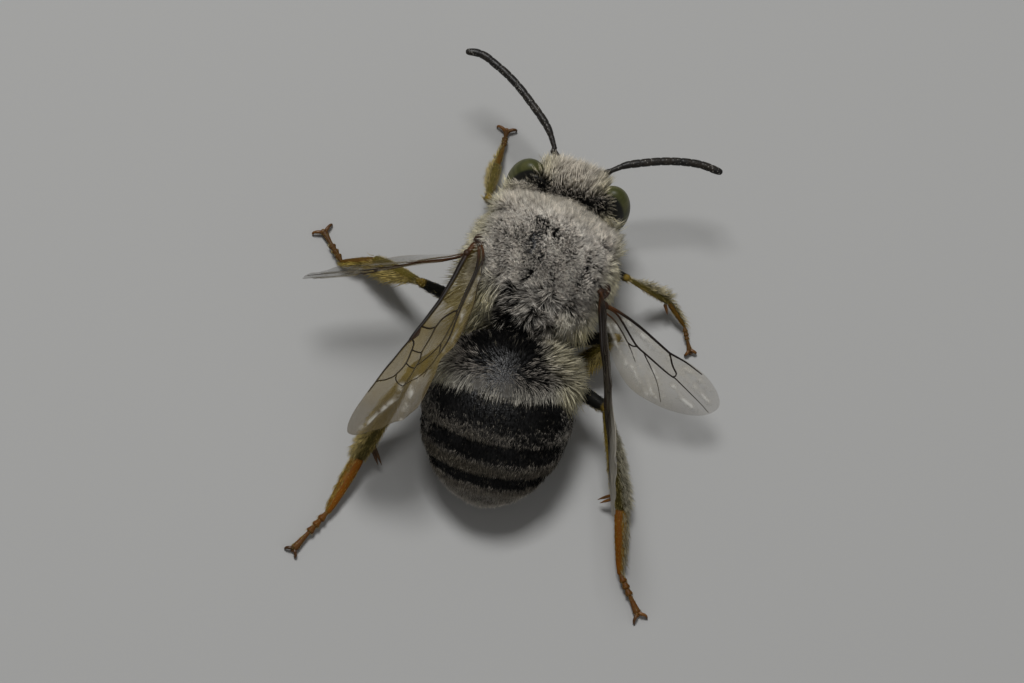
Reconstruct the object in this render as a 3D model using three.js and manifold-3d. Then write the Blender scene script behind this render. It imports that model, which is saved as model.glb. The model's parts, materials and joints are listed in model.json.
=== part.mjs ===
// A life-size still model of a grey digger bee (a large male anthophorine-type bee), standing on six feet.
// Millimetres, +Z up. The head points to -Y, the bee's left side is +X. The floor is z = 0.
// Every solid includes the coat of hair over it, so the solids give the outline out to the tips of the hair.
import * as THREE from 'three';
import { mergeVertices } from 'three/addons/utils/BufferGeometryUtils.js';
import Module from 'manifold-3d';

// ---------------------------------------------------------------- driving dimensions
const GAP = 0.04;              // clearance between neighbouring sub-parts
const WING_THICKNESS = 0.5;    // solid plate that stands for the membrane and its veins
const FLAGELLUM_RADIUS = 0.26;
const SCAPE_RADIUS = 0.25;
const CLAW_SPAN = 0.95;        // from claw tip to claw tip on one foot
const CLAW_REACH = 0.30;       // how far the claws go beyond the last tarsal joint
const CLAW_RADIUS = 0.16;
const CLAW_ROOT = 0.02;        // how far beyond the joint a claw starts
const CLAW_ELBOW = [0.8, 0.3]; // where a claw bends: share of its reach, share of its span
const CLAW_TIP_RISE = 0.4;     // height of a claw's tip over the floor, as a share of its radius
const ABDOMEN_TIP = 0.15;      // how far the abdomen's last point stands beyond its last section
const HEAD_TURN = 3.5;         // the head is turned to the bee's left on its neck, in degrees
const HEAD_BACK = 0.18;        // and drawn back towards the thorax
const NECK = [0, -3.8, 3.5];
const FLOOR = 0;
const ORIGIN = new THREE.Vector3(0.12, 2.94, 0);   // middle of the footprint, measured from under the thorax

// Thorax, head, eyes and tegulae are ovoids: a half width, and separate reaches to front, back, top and
// bottom.
const THORAX = {
  centre: [0, -0.9, 3.75], half: 3.68, front: 2.85, back: 3.7, top: 2.6, bottom: 2.6, sides: 24, rows: 14,
};
const HEAD = {
  centre: [0, -4.65, 3.5], half: 2.6, front: 1.25, back: 1.05, top: 1.85, bottom: 2.3, tilt: 14,
  sides: 22, rows: 13,
};
const EYE = {
  centre: [1.98, -4.6, 3.6], half: 0.95, front: 0.85, back: 0.75, top: 1.6, bottom: 1.75, tilt: 14,
  sides: 16, rows: 10,
};
const TEGULA = {
  centre: [3.05, -0.45, 4.75], half: 0.42, front: 0.55, back: 0.6, top: 0.3, bottom: 0.3, sides: 12, rows: 8,
};

// Abdomen: sections along a line that swings to the right and slopes down to the tip.
const ABDOMEN = {
  start: [0.1, 2.75, 3.7],
  end: [-1.3, 10.08, 1.85],
  // share of the length, half width, reach up, reach down
  sections: [
    [0.0, 0.9, 0.9, 0.9],
    [0.06, 2.15, 1.7, 1.5],
    [0.16, 3.05, 2.1, 2.0],
    [0.34, 3.38, 2.35, 2.2],
    [0.55, 3.38, 2.4, 2.0],
    [0.75, 2.85, 2.05, 1.5],
    [0.9, 1.95, 1.45, 0.9],
    [0.98, 0.95, 0.75, 0.45],
    [1.0, 0.55, 0.4, 0.25],
  ],
  cuts: [0.42, 0.57, 0.7, 0.82, 0.91],   // where one ring of the abdomen ends and the next begins
  lean: 24,                              // how far the rings' edges lean back from square, in degrees
};

// Legs: hip, trochanter, knee, ankle (end of the tibia), heel (end of the first tarsal joint) and toe,
// for each foot.
const LEGS = {
  foreleg_left: [
    [0.7, -2.3, 2.0], [1.35, -2.75, 1.35], [3.4, -3.2, 3.0],
    [3.65, -5.55, 1.2], [3.7, -6.9, 0.5], [3.85, -7.8, 0.2],
  ],
  foreleg_right: [
    [-0.7, -2.3, 2.0], [-1.35, -2.75, 1.35], [-3.8, -2.0, 3.1],
    [-6.0, -2.45, 1.15], [-7.15, -1.85, 0.5], [-7.75, -1.0, 0.2],
  ],
  midleg_left: [
    [1.2, 0.6, 1.7], [1.8, 1.4, 1.35], [4.75, 1.85, 3.1],
    [7.1, 0.9, 1.05], [8.6, 1.35, 0.45], [9.85, 0.25, 0.2],
  ],
  midleg_right: [
    [-1.2, 0.6, 1.7], [-1.8, 1.4, 1.35], [-4.35, 0.8, 2.9],
    [-3.0, 2.0, 0.75], [-2.8, 3.45, 0.4], [-2.9, 4.65, 0.2],
  ],
  hindleg_left: [
    [1.1, 2.0, 1.9], [1.9, 3.0, 1.5], [3.65, 6.0, 3.3],
    [4.45, 9.75, 0.95], [4.85, 12.6, 0.45], [5.6, 14.6, 0.2],
  ],
  hindleg_right: [
    [-1.1, 2.0, 1.9], [-1.9, 3.0, 1.5], [-5.0, 4.2, 3.2],
    [-7.25, 7.5, 1.0], [-8.3, 10.3, 0.45], [-9.6, 11.6, 0.2],
  ],
};

// Half thickness of each leg segment, out to the tips of its hair, for the three pairs of legs.
const GIRTHS = {
  foreleg: { coxa: 0.5, femur: 0.4, tibia: 0.42, basitarsus: 0.29, tarsus: 0.27 },
  midleg: { coxa: 0.5, femur: 0.42, tibia: 0.45, basitarsus: 0.3, tarsus: 0.27 },
  hindleg: { coxa: 0.52, femur: 0.48, tibia: 0.55, basitarsus: 0.38, tarsus: 0.27 },
};

// How the thickness of a segment goes along its length: share of the length, share of the girth.
const SHAPES = {
  coxa: [[0, 1], [0.6, 0.95], [1, 0.75]],
  femur: [[0, 0.7], [0.35, 1], [0.75, 0.9], [1, 0.78]],
  tibia: [[0, 0.72], [0.3, 0.85], [0.75, 1], [1, 0.82]],
  basitarsus: [[0, 0.85], [0.3, 1], [0.8, 0.95], [1, 0.8]],
  tarsus: [[0, 0.85], [0.2, 1], [0.28, 0.85], [0.42, 1], [0.5, 0.85], [0.62, 0.95], [0.72, 0.85], [1, 0.95]],
};

const ANTENNA_LEFT = {
  scape: [[0.62, -5.7, 3.5], [1.0, -5.85, 4.05], [1.45, -5.95, 4.4]],
  flagellum: [
    [1.53, -6.02, 4.45], [1.88, -6.5, 4.52], [2.08, -6.95, 4.55], [2.7, -7.45, 4.55],
    [3.55, -7.85, 4.5], [5.1, -8.75, 4.45], [5.7, -9.0, 4.4], [6.75, -8.9, 4.35],
  ],
};
const ANTENNA_RIGHT = {
  scape: [[-0.62, -5.7, 3.5], [-0.95, -5.85, 4.0], [-1.28, -6.0, 4.35]],
  flagellum: [
    [-1.36, -6.08, 4.4], [-1.85, -6.52, 4.5], [-2.45, -6.88, 4.55], [-3.3, -7.34, 4.55],
    [-4.15, -7.7, 4.52], [-5.05, -7.95, 4.48], [-6.0, -7.98, 4.45],
  ],
};

const MANDIBLE = [[1.2, -4.55, 1.9], [1.0, -4.95, 1.4], [0.32, -5.15, 1.15]];
const MANDIBLE_RADIUS = 0.3;
const MANDIBLE_TAPER = [[0, 1], [0.5, 0.9], [1, 0.55]];   // share of the length, share of the radius
const SCAPE_TAPER = [[0, 0.9], [1, 1]];
const FLAGELLUM_TAPER = [[0, 0.9], [0.1, 0.95], [0.3, 1], [0.95, 1], [1, 0.85]];
const CLAW_TAPER = [[0, 1.1], [0.6, 0.9], [1, 0.6]];

// Wing outlines in the wing's own plane: along the length from the root, and across from the front edge
// to the back.
const FOREWING_OUTLINE = [
  [0.0, -0.1], [0.9, -0.2], [2.8, -0.12], [4.7, -0.22], [6.3, -0.5], [8.0, -0.62], [9.4, -0.72],
  [10.2, -0.55],
  [10.62, -0.15], [10.7, 0.3], [10.35, 1.1], [9.7, 2.1], [9.0, 2.95], [8.3, 3.1], [7.0, 2.8], [6.15, 2.5],
  [5.3, 2.7], [4.3, 2.6], [3.3, 2.3], [2.2, 1.75], [1.1, 1.2], [0.2, 0.5],
];
const HINDWING_OUTLINE = [
  [0.0, -0.12], [0.8, -0.3], [1.9, -0.42], [3.7, -0.42], [4.6, -0.62], [5.6, -0.7], [6.4, -0.56], [6.9, -0.3],
  [7.1, 0.1], [6.9, 0.6], [6.1, 1.25], [5.0, 1.72], [3.6, 1.98], [2.5, 1.75], [1.7, 1.35], [0.8, 0.85],
  [0.1, 0.35],
];

// Wings: root, a point that the length runs towards, and the direction from the front edge to the back edge.
const WINGS = {
  forewing_left: {
    outline: FOREWING_OUTLINE,
    root: [3.05, -0.4, 4.75], towards: [5.12, 10.07, 4.3], across: [-0.64, 0.16, 0.75],
  },
  forewing_right: {
    outline: FOREWING_OUTLINE,
    root: [-2.85, -0.25, 4.8], towards: [-6.85, 9.65, 5.8], across: [-0.04, 0.32, 0.95],
  },
  hindwing_left: {
    outline: HINDWING_OUTLINE, root: [3.15, 0.2, 4.4], towards: [9.7, 4.1, 4.05], across: [0.09, 0.20, 0.97],
  },
  hindwing_right: {
    outline: HINDWING_OUTLINE,
    root: [-3.2, 0.15, 4.4], towards: [-9.62, 1.92, 2.4], across: [0.34, 0.89, -0.31],
  },
};

// Facet counts.
const ABDOMEN_SIDES = 24;
const ABDOMEN_STEPS = 15;
const LIMB_SIDES = 8;
const CLAW_SIDES = 6;
const CAP_ROWS = 1;
const SEGMENT_STEPS = { coxa: 3, femur: 3, tibia: 3, basitarsus: 3, tarsus: 8 };
const CLAW_STEPS = 3;
const MANDIBLE_STEPS = 5;
const SCAPE_STEPS = 4;
const FLAGELLUM_STEPS = 16;
const OUTLINE_POINTS = 34;
const FACET_TOLERANCE = 0.012;   // facets flatter than this are joined
const WELD_DISTANCE = 1e-5;      // vertices closer than this are one
const BEVEL_RISE = 0.001;        // height of the step by which a wing's cutting tool is made wider

// ---------------------------------------------------------------- finishes
const FINISHES = {
  coat: { color: 0xb5aea4, roughness: 0.95, metalness: 0 },
  banded: { color: 0x4a4743, roughness: 0.9, metalness: 0 },
  pale_fringe: { color: 0xc9c3a8, roughness: 0.95, metalness: 0 },
  eye: { color: 0x6f7350, roughness: 0.35, metalness: 0 },
  black_shell: { color: 0x24221f, roughness: 0.35, metalness: 0 },
  olive_leg: { color: 0x6e6338, roughness: 0.7, metalness: 0 },
  orange_leg: { color: 0xa8662a, roughness: 0.6, metalness: 0 },
  wing: { color: 0xa39882, roughness: 0.4, metalness: 0 },
};

const wasm = await Module();
wasm.setup();

// ---------------------------------------------------------------- shapes
const vector = (p) => new THREE.Vector3(...p);
const mirrored = (p) => [-p[0], p[1], p[2]];

/** Closed surface through a row of rings; the first and the last ring are points. */
function loft(rings, sides) {
  const positions = [];
  const index = [];
  for (const ring of rings) {
    for (let i = 0; i < (ring.pole ? 1 : sides); i += 1) {
      const angle = (2 * Math.PI * i) / sides;
      const rise = Math.sin(angle) * (Math.sin(angle) > 0 ? ring.up : ring.down);
      const point = ring.centre.clone();
      if (!ring.pole) {
        point.addScaledVector(ring.side, Math.cos(angle) * ring.half).addScaledVector(ring.top, rise);
      }
      positions.push(point.x, point.y, point.z);
    }
  }
  const last = rings.length - 1;
  const start = (k) => (k === 0 ? 0 : 1 + (k - 1) * sides);
  for (let i = 0; i < sides; i += 1) {
    const j = (i + 1) % sides;
    index.push(0, start(1) + j, start(1) + i);
    for (let k = 1; k < last - 1; k += 1) {
      const a = start(k);
      const b = start(k + 1);
      index.push(a + i, a + j, b + j, a + i, b + j, b + i);
    }
    index.push(start(last), start(last - 1) + i, start(last - 1) + j);
  }
  const geometry = new THREE.BufferGeometry();
  geometry.setAttribute('position', new THREE.Float32BufferAttribute(positions, 3));
  geometry.setIndex(index);
  return geometry;
}

/** Straight-line look-up in rows of [share, value, ...]; column says which value. */
function valueAt(rows, share, column) {
  let k = 1;
  while (k < rows.length - 1 && rows[k][0] < share) k += 1;
  const [a, b] = [rows[k - 1], rows[k]];
  const t = THREE.MathUtils.clamp((share - a[0]) / (b[0] - a[0]), 0, 1);
  return a[column] + (b[column] - a[column]) * t;
}

/** Round tube along a curve with dome ends. rows says how the radius goes along it. */
function tube(curve, radius, rows, steps, sides, grow = 0) {
  const rings = [];
  const frames = curve.computeFrenetFrames(steps, false);
  const ring = (share, frame, shift, scale) => {
    const centre = curve.getPointAt(share).addScaledVector(frames.tangents[frame], shift);
    const size = (radius * valueAt(rows, share, 1) + grow) * scale;
    const [side, top] = [frames.normals[frame], frames.binormals[frame]];
    rings.push({ centre, side, top, half: size, up: size, down: size, pole: scale === 0 });
  };
  for (let k = 0; k <= CAP_ROWS; k += 1) {
    const angle = (Math.PI / 2) * (1 - k / (CAP_ROWS + 1));
    ring(0, 0, -(radius * valueAt(rows, 0, 1) + grow) * Math.sin(angle), k === 0 ? 0 : Math.cos(angle));
  }
  for (let k = 0; k <= steps; k += 1) ring(k / steps, k, 0, 1);
  for (let k = CAP_ROWS; k >= 0; k -= 1) {
    const angle = (Math.PI / 2) * (1 - k / (CAP_ROWS + 1));
    ring(1, steps, (radius * valueAt(rows, 1, 1) + grow) * Math.sin(angle), k === 0 ? 0 : Math.cos(angle));
  }
  return loft(rings, sides);
}

/** Ovoid with a reach of its own to each side, turned about X by its tilt. */
function ovoid(size, grow = 0) {
  const geometry = new THREE.SphereGeometry(1, size.sides, size.rows);
  const tilt = THREE.MathUtils.degToRad(size.tilt ?? 0);
  const place = geometry.attributes.position;
  for (let i = 0; i < place.count; i += 1) {
    const point = new THREE.Vector3().fromBufferAttribute(place, i);
    point.x *= size.half + grow;
    point.y *= (point.y < 0 ? size.front : size.back) + grow;
    point.z *= (point.z > 0 ? size.top : size.bottom) + grow;
    point.applyAxisAngle(new THREE.Vector3(1, 0, 0), tilt).add(vector(size.centre));
    place.setXYZ(i, point.x, point.y, point.z);
  }
  return geometry;
}

/** The abdomen as one body, before it is parted into its rings. */
function abdomenBody(grow = 0) {
  const rings = [];
  const [start, end] = [vector(ABDOMEN.start), vector(ABDOMEN.end)];
  const axis = end.clone().sub(start).normalize();
  const side = new THREE.Vector3().crossVectors(new THREE.Vector3(0, 0, 1), axis).normalize();
  const top = new THREE.Vector3().crossVectors(axis, side).normalize();
  const curves = [1, 2, 3].map((column) => new THREE.SplineCurve(
    ABDOMEN.sections.map((row) => new THREE.Vector2(row[0], row[column])),
  ));
  rings.push({ centre: start.clone().addScaledVector(axis, -grow), pole: true });
  for (let k = 0; k <= ABDOMEN_STEPS; k += 1) {
    const [half, up, down] = curves.map((curve) => curve.getPoint(k / ABDOMEN_STEPS).y + grow);
    const share = curves[0].getPoint(k / ABDOMEN_STEPS).x;
    rings.push({ centre: start.clone().lerp(end, share), side, top, half, up, down, pole: false });
  }
  rings.push({ centre: end.clone().addScaledVector(axis, ABDOMEN_TIP + grow), pole: true });
  return { geometry: loft(rings, ABDOMEN_SIDES), axis, side, start, length: start.distanceTo(end) };
}

/** A wing plate of even thickness; grow makes it larger all round. */
function wingPlate(wing, grow = 0) {
  const outline = new THREE.SplineCurve(wing.outline.map((p) => new THREE.Vector2(...p)));
  const geometry = new THREE.ExtrudeGeometry(new THREE.Shape(outline.getPoints(OUTLINE_POINTS)), {
    depth: WING_THICKNESS + 2 * grow,
    bevelEnabled: grow > 0,
    bevelThickness: BEVEL_RISE,
    bevelSize: grow,
    bevelSegments: 1,
  });
  geometry.translate(0, 0, -WING_THICKNESS / 2 - grow);
  const along = vector(wing.towards).sub(vector(wing.root)).normalize();
  const across = vector(wing.across);
  across.addScaledVector(along, -across.dot(along)).normalize();
  const square = new THREE.Vector3().crossVectors(along, across);
  const matrix = new THREE.Matrix4().makeBasis(along, across, square);
  return geometry.applyMatrix4(matrix.setPosition(vector(wing.root)));
}

/** Takes the straight head's geometry and points to where the head really stands. */
const headPose = new THREE.Matrix4()
  .makeTranslation(NECK[0], NECK[1] + HEAD_BACK, NECK[2])
  .multiply(new THREE.Matrix4().makeRotationZ(-THREE.MathUtils.degToRad(HEAD_TURN)))
  .multiply(new THREE.Matrix4().makeTranslation(-NECK[0], -NECK[1], -NECK[2]));

// ---------------------------------------------------------------- joining and cutting
/** Turns a closed three.js geometry into a solid. */
function solid(geometry) {
  const bare = geometry.clone();
  bare.deleteAttribute('normal');
  bare.deleteAttribute('uv');
  const merged = mergeVertices(bare, WELD_DISTANCE);
  return new wasm.Manifold(new wasm.Mesh({
    numProp: 3,
    vertProperties: new Float32Array(merged.attributes.position.array),
    triVerts: new Uint32Array(merged.index.array),
  }));
}

/** Turns a solid back into a three.js geometry. */
function geometryOf(body) {
  const mesh = body.asOriginal().simplify(FACET_TOLERANCE).getMesh();
  const geometry = new THREE.BufferGeometry();
  geometry.setAttribute('position', new THREE.BufferAttribute(mesh.vertProperties, 3));
  geometry.setIndex(new THREE.BufferAttribute(mesh.triVerts, 1));
  geometry.computeVertexNormals();
  return geometry;
}

/** Keeps what lies behind a plane through a point, less half a gap. */
function keepBefore(body, point, normal) {
  const back = normal.clone().negate();
  return body.trimByPlane(back.toArray(), back.dot(point) + GAP / 2);
}

/** Keeps what lies beyond a plane through a point, less half a gap. */
const keepBeyond = (body, point, normal) => keepBefore(body, point, normal.clone().negate());

const group = new THREE.Group();

function addPart(name, body, finish) {
  const mesh = new THREE.Mesh(geometryOf(body), new THREE.MeshStandardMaterial(FINISHES[finish]));
  mesh.name = name;
  group.add(mesh);
}

// ---------------------------------------------------------------- legs
const SEGMENTS = ['coxa', 'femur', 'tibia', 'basitarsus', 'tarsus'];
const SEGMENT_FINISH = {
  coxa: 'black_shell', femur: 'black_shell', tibia: 'olive_leg',
  basitarsus: 'orange_leg', tarsus: 'orange_leg',
};
// Coxa, femur and tibia pass close enough to the body and the wings to be cut out of them.
const CARVED_SEGMENTS = 3;

/** Two claws that spread from the toe and bend down to the floor. */
function claws(toe, forward, radius) {
  const flat = new THREE.Vector3(forward.x, forward.y, 0).normalize();
  const side = new THREE.Vector3(-flat.y, flat.x, 0);
  let pair = null;
  for (const sign of [-1, 1]) {
    const beyond = (reach, span) =>
      toe.clone().addScaledVector(flat, reach).addScaledVector(side, sign * span);
    const root = beyond(CLAW_ROOT, 0);
    const elbow = beyond(CLAW_REACH * CLAW_ELBOW[0], CLAW_SPAN * CLAW_ELBOW[1]);
    const tip = beyond(CLAW_REACH, CLAW_SPAN / 2);
    tip.z = FLOOR + radius * CLAW_TIP_RISE;
    const curve = new THREE.QuadraticBezierCurve3(root, elbow, tip);
    const claw = solid(tube(curve, radius, CLAW_TAPER, CLAW_STEPS, CLAW_SIDES));
    pair = pair ? pair.add(claw) : claw;
  }
  return pair;
}

/** The five solids of one leg, mitred at their joints; grow makes them larger for use as cutting tools. */
function legSolids(points, girths, grow = 0) {
  const joints = points.map(vector);
  const headings = joints.slice(1).map((joint, k) => joint.clone().sub(joints[k]).normalize());
  return SEGMENTS.map((segment, k) => {
    const curve = new THREE.LineCurve3(joints[k], joints[k + 1]);
    let body = solid(tube(curve, girths[segment], SHAPES[segment], SEGMENT_STEPS[segment], LIMB_SIDES, grow));
    if (segment === 'tarsus') body = body.add(claws(joints[k + 1], headings[k], CLAW_RADIUS + grow));
    if (grow === 0) {
      if (k > 0) body = keepBeyond(body, joints[k], headings[k - 1].clone().add(headings[k]).normalize());
      if (k + 1 < SEGMENTS.length) {
        body = keepBefore(body, joints[k + 1], headings[k].clone().add(headings[k + 1]).normalize());
      }
      body = body.trimByPlane([0, 0, 1], FLOOR);
    }
    return body;
  });
}

const legTools = [];
for (const [name, points] of Object.entries(LEGS)) {
  const girths = GIRTHS[name.split('_')[0]];
  legSolids(points, girths).forEach((body, k) => {
    addPart(`${name}_${SEGMENTS[k]}`, body, SEGMENT_FINISH[SEGMENTS[k]]);
  });
  legTools.push(...legSolids(points, girths, GAP).slice(0, CARVED_SEGMENTS));
}

// ---------------------------------------------------------------- wings and tegulae
const tegulae = { left: TEGULA, right: { ...TEGULA, centre: mirrored(TEGULA.centre) } };
const tegulaTools = [];
for (const [side, size] of Object.entries(tegulae)) {
  addPart(`tegula_${side}`, solid(ovoid(size)), 'black_shell');
  tegulaTools.push(solid(ovoid(size, GAP)));
}
const coatOfThorax = solid(ovoid(THORAX, GAP));
const abdomenTool = solid(abdomenBody(GAP).geometry);
let wingTools = [];
for (const [name, wing] of Object.entries(WINGS)) {
  let body = solid(wingPlate(wing)).subtract(coatOfThorax).subtract(abdomenTool);
  for (const tool of [...tegulaTools, ...wingTools, ...legTools]) body = body.subtract(tool);
  const pieces = body.decompose().sort((a, b) => b.volume() - a.volume());
  addPart(name, pieces[0], 'wing');
  wingTools = [...wingTools, solid(wingPlate(wing, GAP))];
}

// ---------------------------------------------------------------- thorax
let thorax = solid(ovoid(THORAX));
for (const tool of [...legTools, ...tegulaTools, abdomenTool]) thorax = thorax.subtract(tool);
thorax = thorax.decompose().sort((a, b) => b.volume() - a.volume())[0];
addPart('thorax', thorax, 'coat');

// ---------------------------------------------------------------- abdomen
const whole = abdomenBody();
let rest = solid(whole.geometry);
for (const tool of legTools) rest = rest.subtract(tool);
const edge = whole.axis.clone().applyAxisAngle(whole.side, -THREE.MathUtils.degToRad(ABDOMEN.lean));
[...ABDOMEN.cuts, null].forEach((share, k) => {
  const name = `abdomen_${k + 1}`;
  if (share === null) {
    addPart(name, rest, 'banded');
    return;
  }
  const point = whole.start.clone().addScaledVector(whole.axis, share * whole.length);
  addPart(name, keepBefore(rest, point, edge), k === 0 ? 'pale_fringe' : 'banded');
  rest = keepBeyond(rest, point, edge);
});

// ---------------------------------------------------------------- head
let head = solid(ovoid(HEAD).applyMatrix4(headPose)).subtract(coatOfThorax);
for (const [side, turn] of Object.entries({ left: (p) => p, right: mirrored })) {
  const eye = { ...EYE, centre: turn(EYE.centre) };
  addPart(`eye_${side}`, solid(ovoid(eye).applyMatrix4(headPose)).subtract(coatOfThorax), 'eye');
  head = head.subtract(solid(ovoid(eye, GAP).applyMatrix4(headPose)));
  const jaw = new THREE.CatmullRomCurve3(MANDIBLE.map((point) => vector(turn(point)).applyMatrix4(headPose)));
  const mandible = (grow) => solid(
    tube(jaw, MANDIBLE_RADIUS, MANDIBLE_TAPER, MANDIBLE_STEPS, LIMB_SIDES, grow),
  );
  addPart(`mandible_${side}`, mandible(0), 'black_shell');
  head = head.subtract(mandible(GAP));
}
for (const [side, antenna] of Object.entries({ left: ANTENNA_LEFT, right: ANTENNA_RIGHT })) {
  const scape = new THREE.CatmullRomCurve3(antenna.scape.map(vector));
  const lash = new THREE.CatmullRomCurve3(antenna.flagellum.map(vector));
  const joint = lash.getPointAt(0).add(scape.getPointAt(1)).multiplyScalar(0.5);
  const heading = scape.getTangentAt(1).add(lash.getTangentAt(0)).normalize();
  const stalk = (grow) => solid(tube(scape, SCAPE_RADIUS, SCAPE_TAPER, SCAPE_STEPS, LIMB_SIDES, grow));
  addPart(`antenna_${side}_scape`, keepBefore(stalk(0), joint, heading), 'black_shell');
  const flagellum = solid(tube(lash, FLAGELLUM_RADIUS, FLAGELLUM_TAPER, FLAGELLUM_STEPS, LIMB_SIDES));
  addPart(`antenna_${side}_flagellum`, keepBeyond(flagellum, joint, heading), 'black_shell');
  head = head.subtract(stalk(GAP));
}
addPart('head', head, 'coat');

group.position.copy(ORIGIN).negate();

export default group;
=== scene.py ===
"""A male digger bee at life size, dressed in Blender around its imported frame.

Shapes are worked out in millimetres in the bee's own frame: the head looks along -Y, +Z is up, and X = 0
is the middle of the thorax. Bench.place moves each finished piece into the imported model's frame, in metres.
"""

import json
import logging
import math
from collections.abc import Callable
from dataclasses import dataclass, field, fields, replace
from enum import Enum

import bpy
import numpy as np
from mathutils import Matrix, Vector

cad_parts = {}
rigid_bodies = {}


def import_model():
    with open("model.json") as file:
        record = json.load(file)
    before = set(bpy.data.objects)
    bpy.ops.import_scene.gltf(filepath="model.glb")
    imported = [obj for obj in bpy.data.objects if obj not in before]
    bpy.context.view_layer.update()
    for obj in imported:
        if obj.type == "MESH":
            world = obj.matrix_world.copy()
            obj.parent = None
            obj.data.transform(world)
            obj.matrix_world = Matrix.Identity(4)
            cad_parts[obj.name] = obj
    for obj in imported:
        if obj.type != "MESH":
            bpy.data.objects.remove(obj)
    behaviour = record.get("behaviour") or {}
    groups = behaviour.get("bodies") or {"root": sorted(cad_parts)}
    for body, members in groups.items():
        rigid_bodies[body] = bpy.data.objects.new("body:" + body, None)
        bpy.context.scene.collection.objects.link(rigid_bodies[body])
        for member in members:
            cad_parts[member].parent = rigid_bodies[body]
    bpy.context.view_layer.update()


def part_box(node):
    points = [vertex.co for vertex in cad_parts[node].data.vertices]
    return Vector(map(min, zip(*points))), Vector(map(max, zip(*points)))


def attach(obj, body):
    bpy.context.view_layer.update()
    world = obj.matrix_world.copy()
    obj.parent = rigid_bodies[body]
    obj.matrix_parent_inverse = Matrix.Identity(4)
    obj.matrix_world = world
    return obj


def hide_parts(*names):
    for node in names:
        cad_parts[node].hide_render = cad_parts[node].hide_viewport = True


log = logging.getLogger("bee")

Array = np.ndarray
Point = tuple[float, float, float]
Colour = tuple[float, float, float]
Items = bpy.types.bpy_prop_collection
Object, Mesh, Material = bpy.types.Object, bpy.types.Mesh, bpy.types.Material
NodeTree, Node, Socket = bpy.types.NodeTree, bpy.types.Node, bpy.types.NodeSocket

MILLIMETRE = 0.001
UP = np.array([0.0, 0.0, 1.0])
SPLINE_STEPS = 24


class Side(Enum):
    """A side of the bee, by its name."""

    LEFT = "left"
    RIGHT = "right"

    @property
    def sign(self) -> float:
        """1 on the left and -1 on the right."""
        return 1.0 if self is Side.LEFT else -1.0


# ---------------------------------------------------------------- points and curves
def unit(vectors: Array) -> Array:
    """One vector, or one a row, scaled to length one."""
    vectors = np.asarray(vectors, float)
    return vectors / np.maximum(np.linalg.norm(vectors, axis=-1, keepdims=True), 1e-9)


def ease(values: Array, low: float, high: float) -> Array:
    """Rise smoothly from 0 where values are at low to 1 where they are at high, which may be below low."""
    t = held((np.asarray(values, float) - low) / (high - low))
    return t * t * (3.0 - 2.0 * t)


def held(values: Array) -> Array:
    """Values held between 0 and 1."""
    return np.clip(values, 0, 1)


def bump(distance: Array, width: float) -> Array:
    """Bell curve that is 1 at distance 0 and near 0 past twice the width."""
    return np.exp(-((np.asarray(distance, float) / width) ** 2))


def waves(points: Array, size: float, seed: int, count: int = 14) -> Array:
    """Smooth irregular field from a few plane waves.

    Args:
        points: one point a row, in millimetres.
        size: about the width of its humps, in millimetres.
        seed: picks the waves.
        count: how many waves are added.

    Returns:
        One value a point, mostly between -1 and 1.
    """
    rng = np.random.default_rng(seed)
    heading = unit(rng.normal(size=(count, 3)))
    pitch = rng.uniform(0.6, 1.5, size=count) * math.pi / size
    phase = rng.uniform(0, 2 * math.pi, size=count)
    return np.sin((points @ heading.T) * pitch + phase).sum(axis=1) / math.sqrt(count)


def smooth_path(knots: Array, count: int) -> Array:
    """Even steps along a smooth curve through some points.

    Args:
        knots: the points that it passes through, of any number of columns.
        count: how many points come back.

    Returns:
        Points at even distances along the curve.
    """
    knots = np.asarray(knots, float)
    ends = np.vstack([2 * knots[0] - knots[1], knots, 2 * knots[-1] - knots[-2]])
    t = np.linspace(0, 1, SPLINE_STEPS, endpoint=False)[:, None]
    spans = []
    for a, b, c, d in zip(ends[:-3], ends[1:-2], ends[2:-1], ends[3:]):
        cubic = -a + 3 * b - 3 * c + d
        spans.append(0.5 * (2 * b + (c - a) * t + (2 * a - 5 * b + 4 * c - d) * t**2 + cubic * t**3))
    fine = np.vstack([*spans, knots[-1:]])
    lengths = np.concatenate([[0.0], np.cumsum(np.linalg.norm(np.diff(fine, axis=0), axis=1))])
    wanted = np.linspace(0.0, lengths[-1], count)
    return np.stack([np.interp(wanted, lengths, column) for column in fine.T], axis=1)


def path_frames(line: Array, hint: Array) -> tuple[Array, Array, Array]:
    """Directions along a path, to its side and to its top.

    Args:
        line: the path's points.
        hint: the direction that the top stays closest to.

    Returns:
        Tangents, sides and tops, one a point.
    """
    tangents = unit(np.gradient(line, axis=0))
    sides = unit(np.cross(np.asarray(hint, float), tangents))
    return tangents, sides, np.cross(tangents, sides)


# ---------------------------------------------------------------- meshes
def read(items: Items, name: str, width: int = 1) -> Array:
    """Read a number of every item that Blender keeps in a collection.

    Args:
        items: the collection, such as a mesh's points.
        name: the items' property.
        width: how many numbers it has.

    Returns:
        The numbers, one item a row where there are several.
    """
    values = np.zeros(len(items) * width, np.float32)
    items.foreach_get(name, values)
    return values.reshape(-1, width) if width > 1 else values


def store(mesh: Mesh, name: str, values: Array, domain: str = "POINT") -> None:
    """Keep values under a name on a mesh's points or faces.

    Args:
        mesh: the mesh.
        name: what they are called.
        values: one number for each point or face, or a row of three.
        domain: POINT or FACE.
    """
    kind, field_name = ("FLOAT_VECTOR", "vector") if values.ndim == 2 else ("FLOAT", "value")
    layer = mesh.attributes.new(name, kind, domain)
    layer.data.foreach_set(field_name, values.astype(np.float32).ravel())


def stand_up(name: str, data: bpy.types.ID | None) -> Object:
    """Add an object for a mesh, lamp or camera to the scene.

    Args:
        name: the object's name.
        data: what it shows.

    Returns:
        The object.
    """
    made = bpy.data.objects.new(name, data)
    bpy.context.scene.collection.objects.link(made)
    return made


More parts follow.
